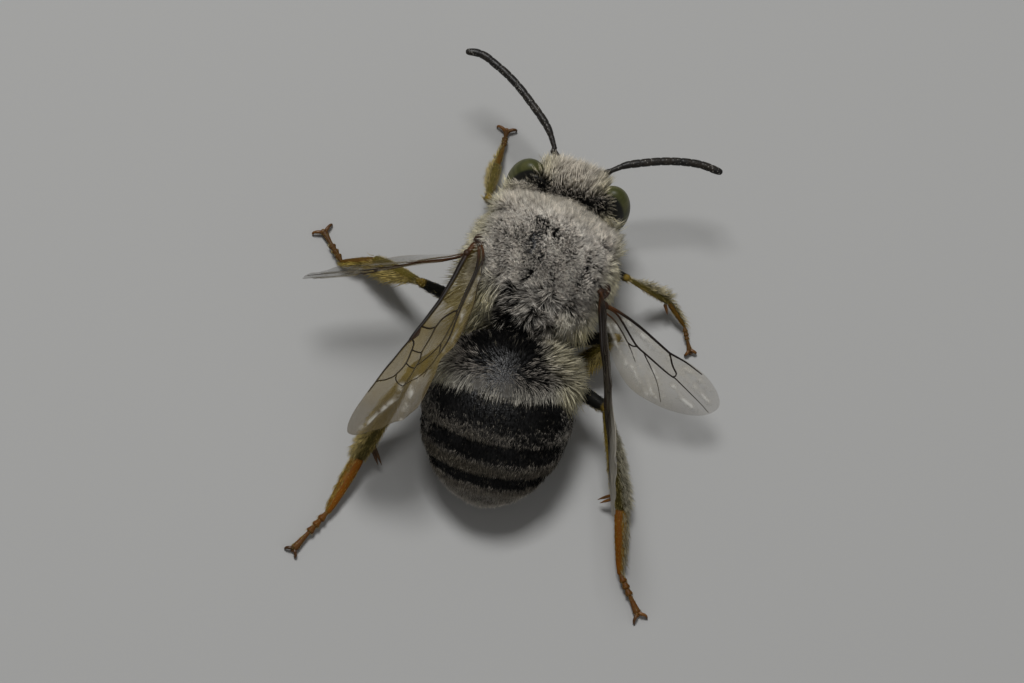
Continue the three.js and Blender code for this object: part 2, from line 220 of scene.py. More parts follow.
@dataclass
class Shape:
    """A mesh that is being built: points in millimetres, faces, and named values on its points."""

    points: Array
    faces: list[tuple[int, ...]]
    marks: dict[str, Array] = field(default_factory=dict)

    def marked(self, **values: float | Array) -> "Shape":
        """Give every point a value under each name.

        Args:
            values: one number for all points, one for each, or a row of three for each.

        Returns:
            The shape itself.
        """
        for name, value in values.items():
            value = np.asarray(value, float)
            self.marks[name] = np.broadcast_to(value, (len(self.points), *value.shape[1:])).copy()
        return self

    @staticmethod
    def joined(shapes: list["Shape"]) -> "Shape":
        """Put shapes together as one mesh.

        Args:
            shapes: the shapes, which all carry the same marks.

        Returns:
            One shape that holds them all.
        """
        faces, start = [], 0
        for shape in shapes:
            faces += [tuple(start + i for i in face) for face in shape.faces]
            start += len(shape.points)
        marks = {name: np.concatenate([s.marks[name] for s in shapes]) for name in shapes[0].marks}
        return Shape(np.vstack([s.points for s in shapes]), faces, marks)


def loft(rings: Array, start: Array, end: Array) -> Shape:
    """Closed skin over rings of points, with a pole at each end.

    Args:
        rings: rings of points, as rings by sides by 3.
        start: the pole before the first ring.
        end: the pole after the last ring.

    Returns:
        The closed shape.
    """
    count, sides, _ = rings.shape
    points = np.vstack([rings.reshape(-1, 3), start[None], end[None]])
    first, last = count * sides, count * sides + 1
    around = [(i, (i + 1) % sides) for i in range(sides)]
    faces = [(first, j, i) for i, j in around]
    for k in range(count - 1):
        a, b = k * sides, (k + 1) * sides
        faces += [(a + i, a + j, b + j, b + i) for i, j in around]
    faces += [(last, (count - 1) * sides + i, (count - 1) * sides + j) for i, j in around]
    return Shape(points, faces)


def limb(
    line: Array, widths: Array, depths: Array, hint: Array, sides: int = 20, dome: float = 0.8,
) -> Shape:
    """Round limb along a path, closed by a dome at each end.

    Args:
        line: the path's points.
        widths: half its width at each point.
        depths: half its depth at each point, towards the hint.
        hint: the direction that its top faces.
        sides: points in a ring.
        dome: how far a dome stands out, as a share of the end's radius.

    Returns:
        The limb, with the mark along from 0 at its root to 1 at its tip.
    """
    tangents, side, top = path_frames(line, hint)
    angles = np.linspace(0, 2 * math.pi, sides, endpoint=False)
    circle = np.stack([np.cos(angles), np.sin(angles)], axis=1)
    rows = []
    radius = (widths + depths) / 2
    turns = np.radians([70.0, 45.0, 20.0])
    for turn in turns:
        rows.append((line[0] - tangents[0] * radius[0] * dome * math.sin(turn), 0, math.cos(turn)))
    rows += [(line[k], k, 1.0) for k in range(len(line))]
    for turn in turns[::-1]:
        centre = line[-1] + tangents[-1] * radius[-1] * dome * math.sin(turn)
        rows.append((centre, len(line) - 1, math.cos(turn)))
    rings = np.array([
        centre + scale * (circle[:, :1] * widths[k] * side[k] + circle[:, 1:] * depths[k] * top[k])
        for centre, k, scale in rows
    ])
    start = line[0] - tangents[0] * radius[0] * dome
    end = line[-1] + tangents[-1] * radius[-1] * dome
    along = [k / (len(line) - 1) for _, k, _ in rows]
    return loft(rings, start, end).marked(along=np.concatenate([np.repeat(along, sides), [0.0, 1.0]]))


@dataclass(frozen=True)
class Ovoid:
    """Ovoid with a reach of its own to each side, turned about X by its tilt in degrees."""

    centre: Point
    half: float
    front: float
    back: float
    top: float
    bottom: float
    tilt: float = 0.0

    def turn(self) -> Array:
        """Matrix that turns a row of the ovoid's own axes into the bee's."""
        c, s = math.cos(math.radians(self.tilt)), math.sin(math.radians(self.tilt))
        return np.array([[1.0, 0.0, 0.0], [0.0, c, s], [0.0, -s, c]])

    def local(self, points: Array) -> Array:
        """Coordinates in which its surface is the unit sphere.

        Args:
            points: points in the bee's frame.

        Returns:
            Their coordinates as shares of the ovoid's reach.
        """
        p = (points - np.array(self.centre)) @ self.turn().T
        y = np.where(p[:, 1] < 0, self.front, self.back)
        z = np.where(p[:, 2] > 0, self.top, self.bottom)
        return np.stack([p[:, 0] / self.half, p[:, 1] / y, p[:, 2] / z], axis=1)

    def surface(self, directions: Array, grow: float = 0.0) -> Array:
        """Points of its surface in given directions of its own unit sphere.

        Args:
            directions: unit directions, one a row.
            grow: how much larger it is all round.

        Returns:
            The points in the bee's frame.
        """
        y = np.where(directions[:, 1] < 0, self.front, self.back) + grow
        z = np.where(directions[:, 2] > 0, self.top, self.bottom) + grow
        p = directions * np.column_stack([np.full(len(y), self.half + grow), y, z])
        return p @ self.turn() + np.array(self.centre)

    def shape(self, sides: int = 64, rows: int = 36, grow: float = 0.0) -> Shape:
        """Closed mesh of the ovoid.

        Args:
            sides: points in a ring.
            rows: steps from its lower to its upper pole.
            grow: how much larger it is all round.

        Returns:
            The mesh.
        """
        rise = np.linspace(-math.pi / 2, math.pi / 2, rows + 1)[1:-1]
        angle = np.linspace(0, 2 * math.pi, sides, endpoint=False)
        ring = np.stack([np.cos(angle), np.sin(angle), np.zeros(sides)], axis=1)
        rings = [self.surface(ring * math.cos(r) + UP * math.sin(r), grow) for r in rise]
        return loft(np.array(rings), self.surface(-UP[None], grow)[0], self.surface(UP[None], grow)[0])

    def mirrored(self) -> "Ovoid":
        """The same ovoid on the other side of the bee."""
        x, y, z = self.centre
        return replace(self, centre=(-x, y, z))

    def pair(self) -> tuple["Ovoid", "Ovoid"]:
        """The ovoid and the same one on the other side."""
        return self, self.mirrored()

    def on(self, side: Side) -> "Ovoid":
        """The ovoid, which is given for the left, on one side."""
        return self if side is Side.LEFT else self.mirrored()


class Bench:
    """Turns shapes into Blender objects, and finished objects into pieces of the model."""

    def __init__(self) -> None:
        """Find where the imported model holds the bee's own origin."""
        low, high = (np.array(corner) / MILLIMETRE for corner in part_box("thorax"))
        design = ThoraxSize()
        self.shift = np.array([
            (low[0] + high[0]) / 2 - design.coat.centre[0],
            low[1] - (design.coat.centre[1] - design.coat.front),
            low[2] - (design.coat.centre[2] - design.coat.bottom),
        ])

    def build(self, name: str, shape: Shape, material: Material | None = None) -> Object:
        """Make a smooth object in millimetres.

        Args:
            name: the object's name.
            shape: its mesh.
            material: its material, or None while it is only a step.

        Returns:
            The object, linked to the scene.
        """
        mesh = bpy.data.meshes.new(name)
        mesh.from_pydata(shape.points.tolist(), [], shape.faces)
        for mark, values in shape.marks.items():
            store(mesh, mark, values)
        mesh.shade_smooth()
        if material:
            mesh.materials.append(material)
        return stand_up(name, mesh)

    def settle(self, piece: Object) -> Object:
        """Apply a piece's modifiers, so that only a plain mesh is left.

        Args:
            piece: the object.

        Returns:
            The same object with its evaluated mesh.
        """
        graph = bpy.context.evaluated_depsgraph_get()
        made = bpy.data.meshes.new_from_object(
            piece.evaluated_get(graph), preserve_all_data_layers=True, depsgraph=graph
        )
        piece.modifiers.clear()
        old, piece.data = piece.data, made
        name = old.name
        bpy.data.meshes.remove(old)
        made.name = name
        return piece

    def place(self, piece: Object, slot: str, *nodes: str) -> Object:
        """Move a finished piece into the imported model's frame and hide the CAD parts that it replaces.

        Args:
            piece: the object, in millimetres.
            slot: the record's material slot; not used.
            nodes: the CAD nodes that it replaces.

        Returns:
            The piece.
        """
        piece.data.transform(Matrix.Scale(MILLIMETRE, 4) @ Matrix.Translation(Vector(self.shift)))
        piece.data.update()
        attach(piece, "root")
        if nodes:
            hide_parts(*nodes)
        triangles = sum(len(face.vertices) - 2 for face in piece.data.polygons)
        log.info("%s: %d triangles", piece.name, triangles)
        return piece


# ---------------------------------------------------------------- shader and geometry nodes
def operator(operation: str, reflected: bool = False) -> Callable[["Value", "Value | float"], "Value"]:
    """Make the method that adds a Math node for one of Python's operators.

    Args:
        operation: what the Math node does.
        reflected: whether the other value comes first.

    Returns:
        The method.
    """
    def method(self: "Value", other: "Value | float") -> "Value":
        """Add the node."""
        return self.tree.math(operation, *((other, self) if reflected else (self, other)))
    return method


class Value:
    """A socket that carries a number, and adds Math nodes when it is used in an expression."""

    def __init__(self, tree: "Tree", socket: Socket) -> None:
        """Keep the socket and the tree that it belongs to."""
        self.tree, self.socket = tree, socket

    __add__ = __radd__ = operator("ADD")
    __sub__, __rsub__ = operator("SUBTRACT"), operator("SUBTRACT", reflected=True)
    __mul__ = __rmul__ = operator("MULTIPLY")
    __truediv__, __rtruediv__ = operator("DIVIDE"), operator("DIVIDE", reflected=True)
    __pow__ = operator("POWER")

    def clamped(self) -> "Value":
        """This value held between 0 and 1."""
        return self.tree.math("ADD", self, 0.0, clamp=True)

    def step(self, low: float, high: float) -> "Value":
        """Smooth step of this value.

        Args:
            low: where it starts to rise.
            high: where it reaches 1.

        Returns:
            The step, from 0 to 1.
        """
        values = {"Value": self.socket, "From Min": low, "From Max": high}
        node = self.tree.node("ShaderNodeMapRange", {"interpolation_type": "SMOOTHSTEP"}, values)
        return Value(self.tree, node.outputs["Result"])


class Tree:
    """A node tree, with one method that adds any node."""

    def __init__(self, tree: NodeTree) -> None:
        """Keep the tree."""
        self.tree = tree

    def feed(self, socket: Socket, value: object) -> None:
        """Link a socket to another, or set its value.

        Args:
            socket: the socket that is fed.
            value: a live value, a socket, a plain value, or None to leave it as it is.
        """
        if isinstance(value, Value):
            value = value.socket
        if isinstance(value, Socket):
            self.tree.links.new(value, socket)
        elif value is not None:
            socket.default_value = value

    def node(self, kind: str, settings: dict | None = None, values: dict | None = None) -> Node:
        """Add a node.

        Args:
            kind: the node's type.
            settings: its own settings, which are set first.
            values: values or links for its sockets, by name or by place.

        Returns:
            The node.
        """
        node = self.tree.nodes.new(kind)
        for name, setting in (settings or {}).items():
            setattr(node, name, setting)
        for name, value in (values or {}).items():
            if isinstance(name, int):
                socket = node.inputs[name]
            else:
                socket = next(s for s in node.inputs if s.name == name and s.enabled)
            self.feed(socket, value)
        return node

    def out(self, node: Node, name: str | None = None) -> Socket:
        """The node's live output of that name, or its first live one."""
        return next(s for s in node.outputs if s.enabled and name in (None, s.name))

    def math(self, operation: str, *values: "Value | float", clamp: bool = False) -> Value:
        """Add a Math node.

        Args:
            operation: what it does.
            values: its operands.
            clamp: whether the result is held between 0 and 1.

        Returns:
            The result.
        """
        settings = {"operation": operation, "use_clamp": clamp}
        node = self.node("ShaderNodeMath", settings, dict(enumerate(values)))
        return Value(self, node.outputs[0])

    def vector(self, operation: str, *values: object) -> Socket:
        """Add a Vector Math node and return its live output."""
        node = self.node("ShaderNodeVectorMath", {"operation": operation}, dict(enumerate(values)))
        return self.out(node)

    def scaled(self, vector: object, factor: object) -> Socket:
        """A vector times a number."""
        node = self.node("ShaderNodeVectorMath", {"operation": "SCALE"}, {"Vector": vector, "Scale": factor})
        return self.out(node)


class Paint(Tree):
    """The node tree of one material, with its surface shader."""

    def __init__(self, name: str, roughness: float = 0.5, **constants: float) -> None:
        """Make the material.

        Args:
            name: the material's name.
            roughness: the shader's roughness.
            constants: other shader sockets, with underscores for spaces.
        """
        self.material = bpy.data.materials.new(name)
        self.material.use_nodes = True
        super().__init__(self.material.node_tree)
        self.shader = self.tree.nodes["Principled BSDF"]
        self.shader.inputs["Roughness"].default_value = roughness
        for key, value in constants.items():
            self.shader.inputs[key.replace("_", " ")].default_value = value
        coordinates = self.node("ShaderNodeTexCoord")
        self.place = self.scaled(coordinates.outputs["Object"], 1.0 / MILLIMETRE)

    def mark(self, name: str) -> Value:
        """The value that the mesh's points carry under a name."""
        node = self.node("ShaderNodeAttribute", {"attribute_name": name})
        return Value(self, node.outputs["Fac"])

    def noise(self, per_mm: float, detail: float = 3.0, stretch: Point = (1.0, 1.0, 1.0)) -> Value:
        """Cloudy noise.

        Args:
            per_mm: how many humps there are in a millimetre.
            detail: how many finer layers it has.
            stretch: how each axis is stretched before it is read.

        Returns:
            The noise, about 0.5.
        """
        spot = self.vector("MULTIPLY", self.place, stretch)
        node = self.node("ShaderNodeTexNoise", None, {"Vector": spot, "Scale": per_mm, "Detail": detail})
        return Value(self, node.outputs[0])

    def cells(self, per_mm: float, feature: str = "F1", randomness: float = 1.0) -> Value:
        """Distance within small cells.

        Args:
            per_mm: how many cells there are in a millimetre.
            feature: which distance is read.
            randomness: 0 gives a grid, 1 scattered cells.

        Returns:
            The distance.
        """
        values = {"Vector": self.place, "Scale": per_mm, "Randomness": randomness}
        node = self.node("ShaderNodeTexVoronoi", {"feature": feature}, values)
        return Value(self, node.outputs["Distance"])

    def blend(self, factor: Value | float, first: object, second: object) -> Socket:
        """Mix two colours.

        Args:
            factor: 0 for the first colour, 1 for the second.
            first: a colour or a socket.
            second: a colour or a socket.

        Returns:
            The mixed colour.
        """
        node = self.node("ShaderNodeMix", {"data_type": "RGBA"})
        sockets = [s for s in node.inputs if s.enabled]
        for socket, value in zip(sockets, (factor, first, second)):
            self.feed(socket, (*value, 1.0) if isinstance(value, tuple) else value)
        return self.out(node)

    def shade(self, colour: object, amount: Value) -> Socket:
        """Multiply a colour by a number."""
        return self.scaled((*colour,) if isinstance(colour, tuple) else colour, amount)

    def colour(self, value: object) -> None:
        """Feed the shader's base colour."""
        self.feed(self.shader.inputs["Base Color"], (*value, 1.0) if isinstance(value, tuple) else value)

    def relief(self, height: Value, depth_mm: float, strength: float = 1.0) -> None:
        """Raise the surface by a height through a Bump node.

        Args:
            height: the height, from 0 to 1.
            depth_mm: how far 0 and 1 are apart.
            strength: how much of it shows.
        """
        values = {"Height": height, "Distance": depth_mm * MILLIMETRE, "Strength": strength}
        node = self.node("ShaderNodeBump", None, values)
        self.feed(self.shader.inputs["Normal"], node.outputs["Normal"])


# ---------------------------------------------------------------- finishes
@dataclass(frozen=True)
class CoatColours:
    """Colours that the skin and the hair over it share."""

    grey: Colour = (0.66, 0.6, 0.525)
    pale: Colour = (0.9, 0.86, 0.78)
    cream: Colour = (0.86, 0.78, 0.46)
    brown: Colour = (0.2, 0.172, 0.13)
    black: Colour = (0.006, 0.0058, 0.0058)

    def mixed(self, paint: Paint, dark: Value) -> Socket:
        """The coat's colour from the marks pale, cream and brown.

        Args:
            paint: the material that it is mixed in.
            dark: how black it is.

        Returns:
            The colour.
        """
        colour = paint.blend(paint.mark("pale"), self.grey, self.pale)
        colour = paint.blend(paint.mark("cream"), colour, self.cream)
        colour = paint.blend(paint.mark("brown"), colour, self.brown)
        return paint.blend(dark, colour, self.black)


GOLDEN = CoatColours((0.44, 0.36, 0.14), (0.82, 0.8, 0.68), (0.74, 0.55, 0.11))


@dataclass(frozen=True)
class HairFinish:
    """Finish of the tufts: matt, darker at the root by painted shade inside the pile, and a little different
    from hair to hair.
    """

    name: str
    colours: CoatColours = CoatColours()
    # root_share: share of a hair's colour left at its root; the darkening towards the root is painted shade
    root_share: float = 0.3
    spread: float = 0.9
    sharpness: float = 3.0
    glint: Colour = (0.62, 0.56, 0.44)
    roughness: float = 0.75

    def make(self) -> Material:
        """Mix the finish.

        Returns:
            The material.
        """
        paint = Paint(self.name, self.roughness, Specular_IOR_Level=0.12)
        tone = paint.mark("tone")
        own = 1 - self.spread / 2 + self.spread * tone
        # painted shade: each hair darkens from tip to root, standing for the shadow deep in the pile
        rise = self.root_share + (1 - self.root_share) * paint.mark("along").step(0.1, 0.9)
        hair = 0.75 + 0.5 * paint.mark("shade")
        dark = ((1.3 * paint.mark("dark") - 0.15 - tone) * self.sharpness + 0.5).clamped()
        glints = tone.step(0.93, 0.97) * (paint.mark("brown") + 0.35 * paint.mark("dark")).clamped() * 0.8
        colour = paint.blend(glints, self.colours.mixed(paint, dark), self.glint)
        paint.colour(paint.shade(colour, own * rise * hair))
        return paint.material


@dataclass(frozen=True)
class SkinFinish:
    """Finish of the body under the coat: dark pitted shell with short down in the coat's colours."""

    name: str = "body_skin"
    colours: CoatColours = CoatColours()
    down_share: float = 0.26
    pits_per_mm: float = 13.0
    dust_per_mm: float = 6.5

    def make(self) -> Material:
        """Mix the finish.

        Returns:
            The material.
        """
        paint = Paint(self.name, 0.5, Specular_IOR_Level=0.25)
        pits = paint.cells(self.pits_per_mm)
        lie = paint.noise(9.0, 4.0, (2.2, 0.5, 2.2))
        down = paint.shade(self.colours.mixed(paint, paint.mark("dark")), self.down_share * (0.5 + lie))
        bare = paint.mark("bare")
        colour = paint.blend(bare, down, self.colours.black)
        dust = paint.cells(self.dust_per_mm).step(0.16, 0.1) * paint.noise(1.5).step(0.45, 0.65)
        colour = paint.blend(dust * 0.5, colour, (0.35, 0.33, 0.28))
        paint.colour(colour)
        paint.feed(paint.shader.inputs["Roughness"], 0.55 - 0.2 * bare + 0.2 * (lie - 0.5))
        paint.relief(pits * 0.6 + lie * 0.7, 0.02, 0.8)
        return paint.material


@dataclass(frozen=True)
class EyeFinish:
    """Olive compound eye: fine facets, faint bands, and a dark rim towards the back of the head."""

    name: str = "compound_eye"
    olive: Colour = (0.056, 0.061, 0.016)
    light: Colour = (0.112, 0.112, 0.038)
    rim: Colour = (0.008, 0.008, 0.007)
    facets_per_mm: float = 30.0

    def make(self) -> Material:
        """Mix the finish.

        Returns:
            The material.
        """
        paint = Paint(self.name, 0.45, Specular_IOR_Level=0.25, Coat_Weight=0.12, Coat_Roughness=0.3)
        clouds = paint.noise(1.4, 3.0, (1.0, 0.6, 2.6))
        facets = paint.cells(self.facets_per_mm, "F1", 0.35)
        colour = paint.blend(clouds.step(0.35, 0.7), self.olive, self.light)
        colour = paint.shade(colour, 1.1 - 0.5 * facets)
        paint.colour(paint.blend(paint.mark("rim"), colour, self.rim))
        paint.relief(1 - facets, 0.006, 0.55)
        return paint.material


@dataclass(frozen=True)
class ShellFinish:
    """Hard shell of one colour that clouds into a second: antennae, jaws, claws, wing scales, veins."""

    name: str
    base: Colour
    cloud: Colour
    roughness: float = 0.35
    gloss: float = 0.3
    clouds_per_mm: float = 1.6
    grain_per_mm: float = 16.0
    grain_mm: float = 0.008
    dust: Colour = (0.4, 0.38, 0.33)
    dust_share: float = 0.0
    dust_per_mm: float = 9.0

    def make(self) -> Material:
        """Mix the finish.

        Returns:
            The material.
        """
        settings = {"Specular_IOR_Level": 0.3, "Coat_Weight": self.gloss, "Coat_Roughness": 0.25}
        paint = Paint(self.name, self.roughness, **settings)
        clouds = paint.noise(self.clouds_per_mm)
        colour = paint.blend(clouds.step(0.38, 0.68), self.base, self.cloud)
        grain = paint.cells(self.grain_per_mm)
        if self.dust_share:
            specks = paint.cells(self.dust_per_mm).step(0.34, 0.12) * paint.noise(2.3).step(0.36, 0.62)
            colour = paint.blend(specks * self.dust_share, colour, self.dust)
        paint.colour(colour)
        paint.feed(paint.shader.inputs["Roughness"], self.roughness + 0.25 * (clouds - 0.5))
        paint.relief(grain, self.grain_mm)
        return paint.material


@dataclass(frozen=True)
class LegFinish:
    """Leg skin: black, olive, orange and yellow by the marks of its segments, with fine ridges."""

    name: str = "leg_skin"
    black: Colour = (0.008, 0.008, 0.007)
    olive: Colour = (0.085, 0.066, 0.01)
    orange: Colour = (0.175, 0.056, 0.002)
    yellow: Colour = (0.44, 0.29, 0.04)
    brown: Colour = (0.085, 0.04, 0.018)

    def make(self) -> Material:
        """Mix the finish.

        Returns:
            The material.
        """
        paint = Paint(self.name, 0.45, Specular_IOR_Level=0.1, Coat_Weight=0.03, Coat_Roughness=0.3)
        clouds = paint.noise(2.2)
        colour = paint.blend(paint.mark("olive"), self.black, self.olive)
        colour = paint.blend(paint.mark("orange"), colour, self.orange)
        colour = paint.blend(paint.mark("toe"), colour, self.brown)
        colour = paint.blend(paint.mark("yellow"), colour, self.yellow)
        paint.colour(paint.shade(colour, 0.65 + 0.7 * clouds))
        paint.feed(paint.shader.inputs["Roughness"], 0.28 + 0.3 * clouds)
        paint.relief(paint.cells(18.0) * 0.5 + paint.noise(12.0), 0.012)
        return paint.material


@dataclass(frozen=True)
class FaceFinish:
    """Pale yellow plates of a male's face, with darker edges."""

    name: str = "face_plate"
    yellow: Colour = (0.5, 0.42, 0.17)
    edge: Colour = (0.035, 0.022, 0.01)

    def make(self) -> Material:
        """Mix the finish.

        Returns:
            The material.
        """
        paint = Paint(self.name, 0.4, Coat_Weight=0.3, Coat_Roughness=0.2)
        colour = paint.blend(paint.noise(1.8).step(0.3, 0.75) * 0.35, self.yellow, self.edge)
        paint.colour(paint.blend(paint.mark("edge"), colour, self.edge))
        paint.relief(paint.cells(11.0), 0.015)
        return paint.material


@dataclass(frozen=True)
class MembraneFinish:
    """Wing membrane: thin, amber, finely haired, browner towards the margin, with a painted silvery
    reflection along its creases.
    """

    name: str
    tint: Colour = (0.2, 0.145, 0.04)
    margin: Colour = (0.12, 0.088, 0.036)
    # silver: colour of the painted reflection along the creases
    silver: Colour = (0.8, 0.79, 0.74)

    def make(self) -> Material:
        """Mix the finish, with its cover from the mark cover and its painted reflection along the folds from
        the mark sheen.

        Returns:
            The material.
        """
        paint = Paint(self.name, 0.38, Specular_IOR_Level=0.3, Coat_Weight=0.05, Coat_Roughness=0.2)
        hairs = paint.cells(10.0).step(0.3, 0.12)
        clouds = paint.noise(0.9)
        colour = paint.blend(paint.mark("outer"), self.tint, self.margin)
        colour = paint.shade(colour, 0.75 + 0.5 * clouds - 0.35 * hairs)
        # painted reflection: silver along the creases, broken by noise, and more opaque there
        sheen = (paint.mark("sheen") * paint.noise(2.2, 4.0).step(0.36, 0.66)).clamped()
        paint.colour(paint.blend(sheen, colour, self.silver))
        cover = paint.mark("cover") * (0.85 + 0.3 * hairs + 0.3 * clouds) + 0.45 * sheen
        paint.feed(paint.shader.inputs["Alpha"], cover.clamped())
        paint.relief(paint.noise(3.2, 4.0, (1.0, 1.0, 1.0)), 0.05, 0.5)
        return paint.material


@dataclass(frozen=True)
class VeinFinish:
    """Wing veins: nearly black, and rusty towards the hinge by the mark rusty."""

    name: str = "wing_vein"
    dark: Colour = (0.01, 0.006, 0.004)
    rusty: Colour = (0.075, 0.027, 0.006)

    def make(self) -> Material:
        """Mix the finish.

        Returns:
            The material.
        """
        paint = Paint(self.name, 0.5, Specular_IOR_Level=0.25)
        share = (paint.mark("rusty") * (0.3 + 1.4 * paint.noise(2.6))).clamped()
        paint.colour(paint.blend(share, self.dark, self.rusty))
        paint.relief(paint.cells(20.0), 0.006)
        return paint.material


@dataclass(frozen=True)
class FloorFinish:
    """Plain pale studio floor."""

    name: str = "floor"
    tone: float = 0.45

    def make(self) -> Material:
        """Mix the finish.

        Returns:
            The material.
        """
        paint = Paint(self.name, 0.85)
        paint.shader.inputs["Specular IOR Level"].default_value = 0.1
        paint.colour((self.tone, self.tone, self.tone * 0.985))
        return paint.material


# ---------------------------------------------------------------- coat
class Zone(Enum):
    """Stretches of the body's coat that are pieces of their own."""

    HEAD = 1.0
    THORAX_TOP = 2.0
    THORAX_REAR = 3.0
    THORAX_SIDE = 4.0
    WAIST = 5.0
    BANDS_FRONT = 6.0
    BANDS_REAR = 7.0
    LEG = 8.0


class HairKind(Enum):
    """Kinds of hair, by the names of their materials."""

    BODY = "coat_hair"
    LEG = "leg_hair"


class CoatTree(Tree):
    """Geometry Nodes that grow locks of hair on a skin, along the way that its marks say."""

    CROWDING = 3.0
    SHORTEST = 0.72
    LONGEST = 1.15

    def __init__(self) -> None:
        """Build the tree and its named inputs."""
        super().__init__(bpy.data.node_groups.new("coat", "GeometryNodeTree"))
        face = self.tree.interface
        sockets = {
            "Skin": "Geometry", "Zone": "Float", "Spacing": "Float", "Seed": "Int",
            "Locks": "Collection", "Material": "Material", "Stray": "Float",
        }
        self.inputs = {
            name: face.new_socket(name, in_out="INPUT", socket_type="NodeSocket" + kind).identifier
            for name, kind in sockets.items()
        }
        face.new_socket("Coat", in_out="OUTPUT", socket_type="NodeSocketGeometry")
        given = self.tree.nodes.new("NodeGroupInput").outputs
        self.seed = given["Seed"]
        points, normal = self._roots(given)
        rotation = self._lie(normal, given["Stray"])
        length = Value(self, self._named("reach")) * self._random("FLOAT", self.SHORTEST, self.LONGEST, 1)
        root = self.out(self.node("GeometryNodeInputPosition"))
        points = self._kept(points, "root", "FLOAT_VECTOR", root)
        points = self._kept(points, "tone", "FLOAT", self._random("FLOAT", 0.0, 1.0, 2))
        locks = self.node("GeometryNodeCollectionInfo", None, {
            "Collection": given["Locks"], "Separate Children": True, "Reset Children": True,
        })
        grown = self.node("GeometryNodeInstanceOnPoints", None, {
            "Points": points, "Instance": self.out(locks), "Pick Instance": True,
            "Instance Index": self._random("INT", 0, Pile.VARIANTS - 1, 3),
            "Rotation": rotation, "Scale": length,
        })
        solid = self.node("GeometryNodeRealizeInstances", None, {"Geometry": self.out(grown)})
        dressed = self.node("GeometryNodeSetMaterial", None, {
            "Geometry": self.out(solid), "Material": given["Material"],
        })
        end = self.tree.nodes.new("NodeGroupOutput")
        self.tree.links.new(self.out(dressed), end.inputs["Coat"])

    def _named(self, name: str, kind: str = "FLOAT") -> Socket:
        """Read a mark of the skin."""
        return self.out(self.node("GeometryNodeInputNamedAttribute", {"data_type": kind}, {"Name": name}))

    def _random(self, kind: str, low: object, high: object, shift: int) -> Socket:
        """Random value, whose seed is the coat's own plus a shift."""
        values = {"Min": low, "Max": high, "Seed": self.math("ADD", Value(self, self.seed), float(shift))}
        return self.out(self.node("FunctionNodeRandomValue", {"data_type": kind}, values))

    def _kept(self, geometry: object, name: str, kind: str, value: object) -> Socket:
        """Store a value on the roots, so that the hair carries it.

        Args:
            geometry: the roots.
            name: the attribute.
            kind: its data type.
            value: what is stored.

        Returns:
            The roots with the value.
        """
        values = {"Geometry": geometry, "Name": name, "Value": value}
        settings = {"data_type": kind, "domain": "POINT"}
        return self.out(self.node("GeometryNodeStoreNamedAttribute", settings, values))

    def _roots(self, given: Items) -> tuple[Socket, Socket]:
        """Scatter the roots over one zone of the skin, evenly and thinned by the mark thick.

        Args:
            given: the tree's inputs.

        Returns:
            The roots, and the skin's normal at each.
        """
        values = {"A": self._named("zone"), "B": given["Zone"], "Epsilon": 0.1}
        here = self.node("FunctionNodeCompare", {"data_type": "FLOAT", "operation": "EQUAL"}, values)
        spacing = Value(self, given["Spacing"])
        scatter = self.node("GeometryNodeDistributePointsOnFaces", {"distribute_method": "POISSON"}, {
            "Mesh": given["Skin"], "Selection": self.out(here), "Distance Min": spacing,
            "Density Max": self.CROWDING / spacing**2.0, "Density Factor": self._named("thick"),
            "Seed": self.seed,
        })
        return scatter.outputs["Points"], scatter.outputs["Normal"]

    def _lie(self, normal: Socket, stray: Socket) -> Socket:
        """Turn each lock between the skin's normal and the lie of the coat.

        Args:
            normal: the skin's normal at each root.
            stray: how far a lock may stray from its lie.

        Returns:
            The locks' rotations.
        """
        comb = self._named("comb", "FLOAT_VECTOR")
        stand = Value(self, self._named("stand"))
        up, along = self.scaled(normal, stand), self.scaled(comb, 1 - stand)
        off = self.scaled(self._random("FLOAT_VECTOR", (-1.0,) * 3, (1.0,) * 3, 4), stray)
        heading = self.vector("ADD", self.vector("ADD", up, along), off)
        values = {"Primary Axis": self.vector("NORMALIZE", heading), "Secondary Axis": comb}
        settings = {"primary_axis": "Z", "secondary_axis": "X"}
        return self.out(self.node("FunctionNodeAxesToRotation", settings, values))


